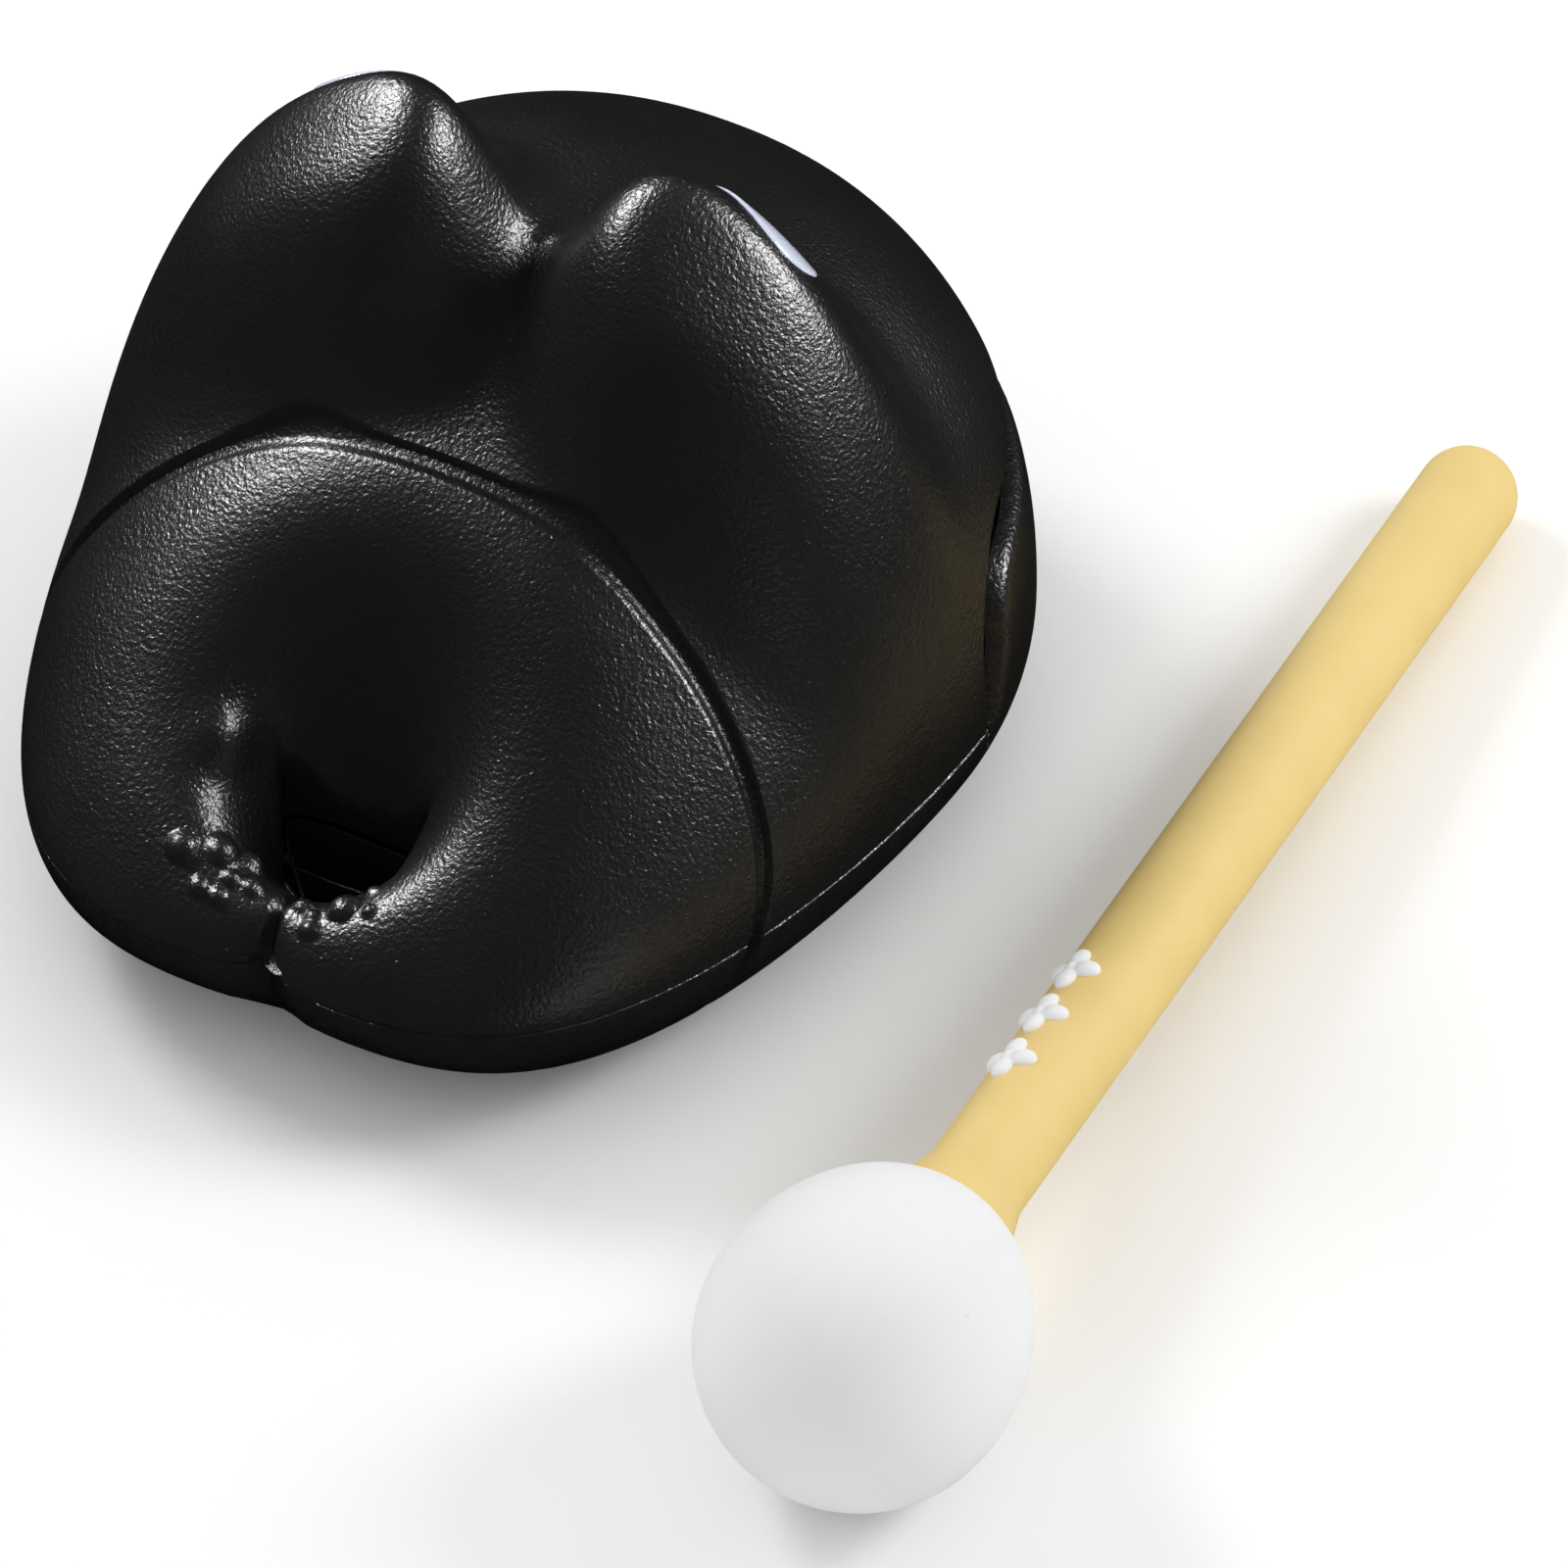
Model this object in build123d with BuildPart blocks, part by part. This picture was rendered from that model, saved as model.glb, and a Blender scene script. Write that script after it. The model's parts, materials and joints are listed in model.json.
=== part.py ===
"""Moulded mokugyo (wooden fish): a hollow black body in two shells, and its egg-headed mallet.

The frame has +Z up and the mouth towards -Y. The origin is on the ground under the middle of the fish.
A station is a distance along the fish from the end of its tail, so the mouth has the largest stations.
All sizes are in millimetres, and angles are in degrees.
"""
import os
from math import asin, cos, exp, hypot, radians, sin, sqrt

from build123d import *

os.makedirs("parts", exist_ok=True)

# Fish body: overall sizes
body_length = 100.0
body_half_width = 42.5
widest_station = 57.0
parting_height = 14.0
dome_rise = 43.5
dome_station = 55.0
wall = 2.4

# Fish body: bluntness of the tail in plan and in side view, of the nose, the belly and the cross-sections
plan_power = 1.6
plan_root = 3.4
side_power = 1.15
side_root = 1.05
nose_power = 2.2
belly_power = 4.0
belly_root = 2.0
belly_squareness = 0.45
belly_spare = 0.8
upper_squareness = 0.92

# Eye humps, which fall steeply to the middle and the neck, and slowly to the flanks and the mouth
hump_station = 49.0
hump_offset = 16.5
hump_rise = 20.0
hump_reach_in = 10.0
hump_reach_out = 40.0
hump_reach_back = 8.5
hump_reach_front = 13.0
hump_power = 1.25

# Looped tail: the swell of the loop, the basin inside it, the hole, and the notch where the two lobes meet
loop_station = 17.0
loop_half_width = 22.0
loop_half_length = 13.0
loop_softness = 0.6
loop_rise = 3.0
basin_station = 16.0
basin_depth = 11.0
basin_reach_across = 10.0
basin_reach_along = 10.0
hole_rear_station = 9.4
hole_front_station = 20.0
hole_half_width = 9.0
hole_corner = 2.4
notch_depth = 3.2
notch_half_width = 5.0
notch_bulge = 1.07

# Groove between the tail and the neck, in a plane that leans towards the mouth
groove_station = 25.6
groove_lean = 17.5
groove_width = 1.5
groove_foot = 4.0
skin_depth = 0.9

# Mouth: a slit between the upper lip and the rounded lower lip
mouth_station = 59.0
mouth_above = 17.0
mouth_below = 2.0
mouth_corner = 10.0
slit_gap = 3.4

# White eye inlays on the front of the humps
eye_length = 14.0
eye_width = 11.0
eye_tilt = 25.0
eye_turn = 10.0
eye_rise = 45.5
eye_proud = 0.15
eye_clearance = 0.05

# Screw posts and screws that hold the shells together
post_stations = (38.0, 76.0)
post_offset = 24.0
post_radius = 4.6
post_clearance = 0.3
screw_radius = 1.5
screw_length = 14.0
screw_end_gap = 1.0
screw_head_radius = 2.8
screw_head_height = 2.0
screw_seat = 5.0
screw_clearance = 0.05
head_clearance = 0.4

# Foot pads let into the base
pad_stations = (29.0, 67.0)
pad_offset = 17.0
pad_radius = 5.0
pad_thickness = 1.2
pad_clearance = 0.1
pad_edge = 0.3

# Mallet: egg-shaped head, straight handle with a flared collar, and a stiff core
head_radius = 14.4
head_back = 14.6
head_front = 18.0
handle_radius = 4.7
collar_radius = 5.6
collar_length = 6.0
collar_slope = 0.6
handle_length = 117.0
core_radius = 1.5
core_in_head = 9.0
core_in_handle = 100.0
core_clearance = 0.05
mallet_head_x = -68.0
mallet_head_y = 63.8
mallet_turn = -2.5

# Raised ornaments on the handle, as four-petalled flowers
ornament_count = 3
ornament_first = 18.8
ornament_pitch = 6.6
ornament_petals = 4
petal_radius = 1.15
petal_spread = 1.35
ornament_rise = 0.6
ornament_turn = 33.0

# Sampling of the lofted body: the belly's points stop half a step short of the parting line
station_count = 20
upper_points = 8
lower_points = 4
parting_gap = 0.5
inset_least = 3.0


def station_y(station):
    """The Y coordinate of a station."""
    return body_length / 2 - station


def half_width(station):
    """Half the body's width at a station: half an ellipse in front, a blunter curve towards the tail."""
    if station >= widest_station:
        t = (station - widest_station) / (body_length - widest_station)
        return body_half_width * sqrt(max(0.0, 1 - t**2))
    t = (widest_station - station) / widest_station
    return body_half_width * (1 - t**plan_power) ** (1 / plan_root)


def crown_rise(station):
    """Height of the plain dome above the parting line on the middle of the body."""
    if station >= dome_station:
        t = (station - dome_station) / (body_length - dome_station)
        return dome_rise * (1 - t**nose_power) ** (1 / nose_power)
    t = (dome_station - station) / dome_station
    return dome_rise * (1 - t**side_power) ** (1 / side_root)


def belly_drop(station):
    """Depth of the belly below the parting line, with some to spare for the flat base."""
    t = abs(2 * station / body_length - 1)
    return (parting_height + belly_spare) * (1 - t**belly_power) ** (1 / belly_root)


def relief(across, station):
    """Height that the eye humps and the tail's loop add to the dome, less the basin inside the loop."""
    aside = abs(across) - hump_offset
    reach_across = hump_reach_out if aside > 0 else hump_reach_in
    reach_along = hump_reach_front if station > hump_station else hump_reach_back
    from_crest = hypot(aside / reach_across, (station - hump_station) / reach_along)
    hump = hump_rise * exp(-(from_crest ** (2 * hump_power)))
    on_loop = hypot(across / loop_half_width, (station - loop_station) / loop_half_length)
    loop = loop_rise * exp(-(((on_loop - 1) / loop_softness) ** 2))
    in_basin = hypot(across / basin_reach_across, (station - basin_station) / basin_reach_along)
    return hump + loop - basin_depth * exp(-(in_basin**2))


def inset_size(size, inset):
    """A size from the middle outwards, drawn in by the inset, or by less where it is only a few insets."""
    if inset == 0:
        return size
    return size - inset * min(1.0, size / (inset_least * abs(inset)))


def section_points(station, inset):
    """Points around one cross-section of the body, from under the belly round by +X."""
    width = inset_size(half_width(station), inset)
    rise = inset_size(crown_rise(station), inset)
    drop = inset_size(belly_drop(station), inset)
    side = []
    for step in range(1, lower_points + 1):
        angle = radians(90 * (1 - step / (lower_points + parting_gap)))
        side.append((width * cos(angle) ** belly_squareness, parting_height - drop * sin(angle)))
    for step in range(upper_points):
        angle = radians(90 * step / upper_points)
        across = width * cos(angle) ** upper_squareness
        height = (rise + relief(across, station)) * sin(angle) ** upper_squareness
        side.append((across, parting_height + height))
    bottom = (0.0, parting_height - drop)
    top = (0.0, parting_height + rise + relief(0.0, station))
    other_side = [(-across, height) for across, height in reversed(side)]
    return [bottom] + side + [top] + other_side


def body_form(inset):
    """The fish's closed outer form, drawn in all round by the inset."""
    with BuildPart() as form:
        sections = []
        for step in range(1, station_count):
            share = (1 - cos(radians(180 * step / station_count))) / 2
            place = inset + (body_length - 2 * inset) * share
            section_plane = Plane((0, station_y(place), 0), x_dir=(1, 0, 0), z_dir=(0, -1, 0))
            with BuildSketch(section_plane, mode=Mode.PRIVATE) as section:
                with BuildLine():
                    Spline(section_points(body_length * share, inset), periodic=True)
                make_face()
            sections.append(section.sketch.face())
        nose_end = Vertex(0, station_y(body_length - inset), parting_height)
        loft(sections=sections + [nose_end])
    return form.part


# Closed forms that the shells are cut from
outer_form = body_form(0.0)
skin_floor = body_form(skin_depth)
cavity_form = body_form(wall)
eye_front = body_form(-eye_proud)
far = 2 * body_length


def hole_sketch(grow):
    """Rounded triangle of the tail's hole, grown all round."""
    with BuildSketch(Plane.XY) as outline:
        with BuildLine():
            Polyline(
                (0, station_y(hole_rear_station)),
                (-hole_half_width, station_y(hole_front_station)),
                (hole_half_width, station_y(hole_front_station)),
                close=True,
            )
        make_face()
        fillet(outline.vertices(), hole_corner)
        if grow:
            offset(amount=grow)
    return outline.sketch


# Hole through the tail
with BuildPart() as tail_hole:
    extrude(hole_sketch(0.0), amount=far, both=True)

# Notch at the end of the tail, between the two rounded lobes
with BuildPart() as tail_notch:
    with BuildSketch(Plane.XY):
        with BuildLine():
            tip = (0, station_y(notch_depth))
            right = (notch_half_width, station_y(-notch_depth))
            left = (-notch_half_width, station_y(-notch_depth))
            SagittaArc(right, tip, notch_bulge)
            SagittaArc(tip, left, notch_bulge)
            Line(left, right)
        make_face()
    extrude(amount=far, both=True)

# Moulded groove between the tail and the neck
with BuildPart() as groove:
    lean_dir = (0, -cos(radians(groove_lean)), -sin(radians(groove_lean)))
    groove_plane = Plane((0, station_y(groove_station), parting_height), x_dir=(1, 0, 0), z_dir=lean_dir)
    groove_reach = (parting_height - groove_foot) / cos(radians(groove_lean))
    with BuildSketch(groove_plane):
        with Locations((0, -groove_reach)):
            Rectangle(far, far, align=(Align.CENTER, Align.MIN))
    extrude(amount=groove_width / 2, both=True)
    add(skin_floor, mode=Mode.SUBTRACT)


# Side outlines of the mouth opening and of the lower shell, whose lip stands up inside the mouth
mouth_rear = station_y(mouth_station)
mouth_top = parting_height + mouth_above
mouth_floor = parting_height - mouth_below
lip_rear = station_y(mouth_station + slit_gap)
lip_top = mouth_top - slit_gap
with BuildSketch(Plane.YZ) as mouth_outline:
    with BuildLine():
        Polyline(
            (mouth_rear, mouth_floor),
            (mouth_rear, mouth_top),
            (-far, mouth_top),
            (-far, mouth_floor),
            close=True,
        )
    make_face()
    fillet(mouth_outline.vertices().group_by(Axis.X)[-1].sort_by(Axis.Y)[-1], mouth_corner)
with BuildSketch(Plane.YZ) as lower_outline:
    with BuildLine():
        Polyline(
            (far, 0),
            (far, parting_height),
            (mouth_rear, parting_height),
            (mouth_rear, mouth_floor),
            (lip_rear, mouth_floor),
            (lip_rear, lip_top),
            (-far, lip_top),
            (-far, 0),
            close=True,
        )
    make_face()
    lip_corner = lower_outline.vertices().group_by(Axis.Y)[-1].sort_by(Axis.X)[-1]
    fillet(lip_corner, mouth_corner - slit_gap)

post_places = [(side * post_offset, station_y(station)) for station in post_stations for side in (-1, 1)]
pad_places = [(side * pad_offset, station_y(station)) for station in pad_stations for side in (-1, 1)]

# Columns that the screws run in, cut at the parting line into the bosses below and the posts above
with BuildPart() as columns:
    with BuildSketch(Plane.XY):
        with Locations(*post_places):
            Circle(post_radius)
    extrude(amount=far)

# Room for the upper shell's posts inside the lower shell's lip
with BuildPart() as post_room:
    with BuildSketch(Plane.XY.offset(parting_height)):
        with Locations(*post_places):
            Circle(post_radius + post_clearance)
    extrude(amount=far)

# Sound chamber: the hollow of the body, less the columns, the base and the walls round the tail's hole
with BuildPart() as chamber:
    add(cavity_form)
    split(bisect_by=Plane.XY.offset(wall), keep=Keep.TOP)
    extrude(hole_sketch(wall), amount=far, both=True, mode=Mode.SUBTRACT)
    add(columns.part, mode=Mode.SUBTRACT)

# Mouth opening through both flanks and the front, clear of the columns
with BuildPart() as mouth:
    extrude(mouth_outline.sketch, amount=far, both=True)
    add(columns.part, mode=Mode.SUBTRACT)

# Screw holes: a clearance hole with a counterbore from below, and a blind end in each post
with BuildPart() as screw_holes:
    with BuildSketch(Plane.XY):
        with Locations(*post_places):
            Circle(screw_head_radius + head_clearance)
    extrude(amount=screw_seat)
    with BuildSketch(Plane.XY):
        with Locations(*post_places):
            Circle(screw_radius + screw_clearance)
    extrude(amount=screw_seat + screw_length + screw_end_gap)

# Seats for the foot pads
with BuildPart() as pad_seats:
    with BuildSketch(Plane.XY):
        with Locations(*pad_places):
            Circle(pad_radius + pad_clearance)
    extrude(amount=pad_thickness)


def eye_plane(side):
    """Plane inside a hump that faces the way its eye looks: forwards, upwards and outwards."""
    look = (
        side * sin(radians(eye_turn)) * cos(radians(eye_tilt)),
        -cos(radians(eye_turn)) * cos(radians(eye_tilt)),
        sin(radians(eye_tilt)),
    )
    level = (cos(radians(eye_turn)), side * sin(radians(eye_turn)), 0)
    centre = (side * hump_offset, station_y(hump_station), parting_height + eye_rise)
    return Plane(centre, x_dir=level, z_dir=look)


def eye_prism(side, clearance):
    """Oval prism along the eye's line of sight, down to the floor of its seat."""
    with BuildPart() as prism:
        with BuildSketch(eye_plane(side)):
            Ellipse(eye_length / 2 + clearance, eye_width / 2 + clearance)
        extrude(amount=far)
        add(skin_floor, mode=Mode.SUBTRACT)
    return prism.part


# Hollow body with its tail hole, notch, groove and eye seats, before it is parted
with BuildPart() as body:
    add(outer_form)
    add(chamber.part, mode=Mode.SUBTRACT)
    for cutter in (tail_hole, tail_notch, groove):
        add(cutter.part, mode=Mode.SUBTRACT)
    for side in (-1, 1):
        add(eye_prism(side, eye_clearance), mode=Mode.SUBTRACT)

# Upper shell with its screw posts and upper lip
with BuildPart() as upper_shell:
    add(body.part)
    split(bisect_by=Plane.XY.offset(parting_height), keep=Keep.TOP)
    add(mouth.part, mode=Mode.SUBTRACT)
    add(screw_holes.part, mode=Mode.SUBTRACT)
upper_shell.part.label = "upper_shell"

# Lower shell with its flat base, screw bosses, pad seats and lower lip
with BuildPart() as lower_shell:
    add(body.part)
    extrude(lower_outline.sketch, amount=far, both=True, mode=Mode.INTERSECT)
    for cutter in (post_room, screw_holes, pad_seats):
        add(cutter.part, mode=Mode.SUBTRACT)
lower_shell.part.label = "lower_shell"

# White eye inlays
eye_inlays = {}
for side, name in ((-1, "eye_inlay_right"), (1, "eye_inlay_left")):
    with BuildPart() as eye_inlay:
        add(eye_prism(side, 0.0))
        add(eye_front, mode=Mode.INTERSECT)
    eye_inlay.part.label = name
    eye_inlays[name] = eye_inlay.part

# Self-tapping screws, one in each boss
with BuildPart() as shell_screws:
    with BuildSketch(Plane.XY.offset(screw_seat - screw_head_height)):
        with Locations(*post_places):
            Circle(screw_head_radius)
    extrude(amount=screw_head_height)
    with BuildSketch(Plane.XY.offset(screw_seat)):
        with Locations(*post_places):
            Circle(screw_radius)
    extrude(amount=screw_length)
shell_screws.part.label = "shell_screws"

# Soft foot pads, flush with the base
foot_pads = {}
for number, (x, y) in enumerate(pad_places, start=1):
    with BuildPart() as foot_pad:
        with BuildSketch(Plane((x, y, 0))):
            Circle(pad_radius)
        extrude(amount=pad_thickness)
        fillet(foot_pad.edges().group_by(Axis.Z)[0], pad_edge)
    foot_pad.part.label = f"foot_pad_{number}"
    foot_pads[foot_pad.part.label] = foot_pad.part

# Lie of the mallet: its head's bulge and the ball of its handle's end both touch the ground
collar_seat = head_front * sqrt(1 - (collar_radius / head_radius) ** 2)
ball_place = collar_seat + handle_length - handle_radius
mallet_tilt = asin((head_radius - handle_radius) / ball_place)
mallet_dir = Vector(
    -sin(radians(mallet_turn)) * cos(mallet_tilt),
    -cos(radians(mallet_turn)) * cos(mallet_tilt),
    -sin(mallet_tilt),
)
mallet_side = mallet_dir.cross(Vector(0, 0, 1))
mallet_plane = Plane((mallet_head_x, mallet_head_y, head_radius), x_dir=mallet_dir, z_dir=mallet_side)
mallet_axis = Axis(mallet_plane.origin, mallet_dir)


def core_cut(start, end):
    """Bore for the core along the mallet's axis, between two places on it."""
    with BuildPart() as bore:
        bore_plane = Plane(mallet_plane.from_local_coords(Vector(start, 0, 0)), z_dir=mallet_dir)
        with BuildSketch(bore_plane):
            Circle(core_radius + core_clearance)
        extrude(amount=end - start)
    return bore.part


# Egg of the head: a short half-ellipse behind its bulge and a long one towards the handle
with BuildPart() as egg:
    with BuildSketch(mallet_plane):
        with BuildLine():
            EllipticalCenterArc((0, 0), head_front, head_radius, start_angle=0, arc_size=90)
            EllipticalCenterArc((0, 0), head_back, head_radius, start_angle=90, arc_size=90)
            Line((-head_back, 0), (head_front, 0))
        make_face()
    revolve(axis=mallet_axis)

core_start = head_front - core_in_head
core_end = collar_seat + core_in_handle

with BuildPart() as mallet_head:
    add(egg.part)
    add(core_cut(core_start, core_end), mode=Mode.SUBTRACT)
mallet_head.part.label = "mallet_head"

# Handle with a collar that flares on to the egg, and a round end
with BuildPart() as mallet_handle:
    with BuildSketch(mallet_plane):
        with BuildLine():
            collar_end = (collar_seat + collar_length, handle_radius)
            Polyline((ball_place, 0), (0, 0), (0, collar_radius), (collar_seat, collar_radius))
            Spline((collar_seat, collar_radius), collar_end, tangents=((1, -collar_slope), (1, 0)))
            Line(collar_end, (ball_place, handle_radius))
            CenterArc((ball_place, 0), handle_radius, 0, 90)
            Line((ball_place + handle_radius, 0), (ball_place, 0))
        make_face()
    revolve(axis=mallet_axis)
    add(egg.part, mode=Mode.SUBTRACT)
    add(core_cut(core_start, core_end), mode=Mode.SUBTRACT)
mallet_handle.part.label = "mallet_handle"

# Stiff core rod, which joins the head and the handle
with BuildPart() as mallet_core:
    core_plane = Plane(mallet_plane.from_local_coords(Vector(core_start, 0, 0)), z_dir=mallet_dir)
    with BuildSketch(core_plane):
        Circle(core_radius)
    extrude(amount=core_end - core_start)
mallet_core.part.label = "mallet_core"

# Raised four-petalled ornaments that follow the round of the handle
ornaments = {}
for number in range(1, ornament_count + 1):
    place = collar_seat + ornament_first + (number - 1) * ornament_pitch
    outward = mallet_plane.y_dir * cos(radians(ornament_turn)) - mallet_side * sin(radians(ornament_turn))
    with BuildPart() as ornament:
        ring_start = mallet_plane.from_local_coords(Vector(place - ornament_pitch / 2, 0, 0))
        with BuildSketch(Plane(ring_start, z_dir=mallet_dir)):
            Circle(handle_radius + ornament_rise)
            Circle(handle_radius, mode=Mode.SUBTRACT)
        extrude(amount=ornament_pitch)
        flower_centre = mallet_plane.from_local_coords(Vector(place, 0, 0))
        with BuildSketch(Plane(flower_centre, x_dir=mallet_dir, z_dir=outward)):
            Circle(petal_radius)
            with PolarLocations(petal_spread, ornament_petals):
                Circle(petal_radius)
        extrude(amount=2 * handle_radius, mode=Mode.INTERSECT)
    ornament.part.label = f"handle_ornament_{number}"
    ornaments[ornament.part.label] = ornament.part

pieces = [upper_shell.part, lower_shell.part, shell_screws.part]
pieces += [mallet_head.part, mallet_handle.part, mallet_core.part]
pieces += [*eye_inlays.values(), *foot_pads.values(), *ornaments.values()]
for piece in pieces:
    export_step(piece, f"parts/{piece.label}.step")
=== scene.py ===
"""Looks of the moulded mokugyo and its mallet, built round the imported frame.

The fish's two shells and its eyes are skins of one moulded form, cut along the same parting line, mouth and
tail hole as the frame's solids. Sizes are in millimetres, angles in degrees, and meshes end up in metres.
"""
from __future__ import annotations

import json
import logging
import math
from dataclasses import dataclass, field
from enum import Enum
from typing import Any, Callable, ClassVar

import bpy
import numpy as np
from mathutils import Matrix, Vector

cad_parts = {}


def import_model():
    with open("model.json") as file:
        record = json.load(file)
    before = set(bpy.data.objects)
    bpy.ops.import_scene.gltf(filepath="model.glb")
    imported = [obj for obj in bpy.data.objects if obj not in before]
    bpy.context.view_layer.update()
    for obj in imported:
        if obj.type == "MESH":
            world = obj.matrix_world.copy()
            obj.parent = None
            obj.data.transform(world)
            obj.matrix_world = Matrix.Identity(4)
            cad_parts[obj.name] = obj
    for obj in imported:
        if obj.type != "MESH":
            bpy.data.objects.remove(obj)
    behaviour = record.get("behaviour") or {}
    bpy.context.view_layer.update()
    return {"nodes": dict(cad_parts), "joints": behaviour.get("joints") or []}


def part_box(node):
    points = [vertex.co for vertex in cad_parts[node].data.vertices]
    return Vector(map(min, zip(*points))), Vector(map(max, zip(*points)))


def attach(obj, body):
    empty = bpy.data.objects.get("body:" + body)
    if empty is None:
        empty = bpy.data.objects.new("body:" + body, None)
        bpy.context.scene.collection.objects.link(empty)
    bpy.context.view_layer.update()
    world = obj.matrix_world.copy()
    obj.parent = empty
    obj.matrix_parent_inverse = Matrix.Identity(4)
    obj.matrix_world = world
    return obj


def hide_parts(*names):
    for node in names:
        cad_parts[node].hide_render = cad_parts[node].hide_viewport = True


LOG = logging.getLogger("mokugyo")
MM = 0.001
Array = np.ndarray
Field = Callable[[Array], Array]
Colour = tuple[float, float, float, float]

# Sockets of a Mix node for colours, by number, since their names repeat.
MIX_SHARE = 0
MIX_FIRST = 6
MIX_SECOND = 7
MIX_RESULT = 2


class Body(Enum):
    """The two bodies of the frame."""

    FISH = "fish"
    MALLET = "mallet"


class Picked(Enum):
    """What an edit selects, as a mesh's own list of it, in the order of the select modes."""

    VERTICES = "vertices"
    EDGES = "edges"
    FACES = "polygons"


class Value:
    """A number that a socket carries, so that shader maths is written as Python expressions."""

    def __init__(self, shader: "Shader", socket: bpy.types.NodeSocket) -> None:
        """Keeps the socket and the shader that it belongs to."""
        self.shader = shader
        self.socket = socket

    def _math(self, operation: str, first: Any, second: Any) -> "Value":
        """Adds a Math node for two values or numbers and returns its result."""
        return self.shader.node("ShaderNodeMath", {"operation": operation}, {0: first, 1: second})

    def __add__(self, other: Any) -> "Value":
        """This value plus another."""
        return self._math("ADD", self, other)

    def __radd__(self, other: Any) -> "Value":
        """Another value plus this one."""
        return self._math("ADD", other, self)

    def __mul__(self, other: Any) -> "Value":
        """This value times another."""
        return self._math("MULTIPLY", self, other)

    def __rmul__(self, other: Any) -> "Value":
        """Another value times this one."""
        return self._math("MULTIPLY", other, self)

    def __lt__(self, other: Any) -> "Value":
        """One where this value is under the other, and nought elsewhere."""
        return self._math("LESS_THAN", self, other)


class Shader:
    """One material's nodes: a Principled surface and what feeds it."""

    def __init__(self, name: str) -> None:
        """Makes the material with its Principled node and Object coordinates.

        Args:
            name: The material's name.
        """
        self.material = bpy.data.materials.new(name)
        self.material.use_nodes = True
        self.tree = self.material.node_tree
        self.surface = self.tree.nodes["Principled BSDF"]
        self.place = self.node("ShaderNodeTexCoord", {}, {}, "Object")

    def node(self, kind: str, settings: dict[str, Any], inputs: dict[Any, Any], output: Any = 0) -> Value:
        """Adds a node.

        Args:
            kind: The node's type.
            settings: Its properties, which are set first.
            inputs: Numbers, colours or values for its sockets, by name or by number.
            output: The socket that is wanted, by name or by number.

        Returns:
            The value of that output.
        """
        made = self.tree.nodes.new(kind)
        for name, setting in settings.items():
            setattr(made, name, setting)
        for name, given in inputs.items():
            self.feed(made.inputs[name], given)
        return Value(self, made.outputs[output])

    def feed(self, socket: bpy.types.NodeSocket, given: Any) -> None:
        """Links a value to a socket, or sets the socket to a number or colour."""
        if isinstance(given, Value):
            self.tree.links.new(given.socket, socket)
        else:
            socket.default_value = given

    def set(self, **inputs: Any) -> None:
        """Sets or feeds sockets of the Principled node, named with underscores for spaces."""
        for name, given in inputs.items():
            self.feed(self.surface.inputs[name.replace("_", " ")], given)

    def noise(self, scale: float, detail: float, distortion: float = 0.0) -> Value:
        """Noise on Object coordinates, from nought to one."""
        settings = {"Vector": self.place, "Scale": scale, "Detail": detail, "Distortion": distortion}
        return self.node("ShaderNodeTexNoise", {}, settings)

    def cells(self, scale: float, feature: str) -> Value:
        """Distance in a cell pattern on Object coordinates."""
        settings = {"Vector": self.place, "Scale": scale}
        return self.node("ShaderNodeTexVoronoi", {"feature": feature}, settings, "Distance")

    def blend(self, share: Any, first: Any, second: Any) -> Value:
        """A colour between two others."""
        inputs = {MIX_SHARE: share, MIX_FIRST: first, MIX_SECOND: second}
        return self.node("ShaderNodeMix", {"data_type": "RGBA"}, inputs, MIX_RESULT)

    def relief(self, height: Value, strength: float, depth: float) -> None:
        """Gives the surface a fine relief of the given depth in metres."""
        inputs = {"Height": height, "Strength": strength, "Distance": depth}
        self.set(Normal=self.node("ShaderNodeBump", {}, inputs, "Normal"))


def grey(level: float, warmth: float = 0.0) -> Colour:
    """A grey, warmer or cooler by a share of itself."""
    return (level * (1 + warmth), level, level * (1 - warmth), 1.0)


@dataclass(frozen=True)
class Finish:
    """A surface of two mottled colours, with a roughness that follows them and a fine relief in metres."""

    name: str
    deep: Colour
    light: Colour
    mottle_scale: float
    mottle_detail: float
    roughness: float
    roughness_spread: float
    fine_scale: float
    fine_detail: float
    relief_strength: float
    relief_depth: float
    specular: float = 0.5
    metallic: float = 0.0
    coat: float = 0.0

    def material(self) -> bpy.types.Material:
        """Builds the material.

        Returns:
            The finished material.
        """
        shader = Shader(self.name)
        mottle = shader.noise(self.mottle_scale, self.mottle_detail)
        colour = shader.blend(mottle, self.deep, self.light)
        roughness = self.roughness + self.roughness_spread * mottle
        colour, roughness = self.marked(shader, colour, roughness)
        shader.set(Base_Color=colour, Roughness=roughness, Metallic=self.metallic)
        shader.set(Specular_IOR_Level=self.specular, Coat_Weight=self.coat)
        shader.relief(self.grain(shader), self.relief_strength, self.relief_depth)
        return shader.material

    def grain(self, shader: Shader) -> Value:
        """Height of the fine relief."""
        return shader.noise(self.fine_scale, self.fine_detail)

    def marked(self, shader: Shader, colour: Value, roughness: Value) -> tuple[Value, Value]:
        """The colour and the roughness with dust or scuffs on them. A plain finish has none."""
        return colour, roughness


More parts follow.
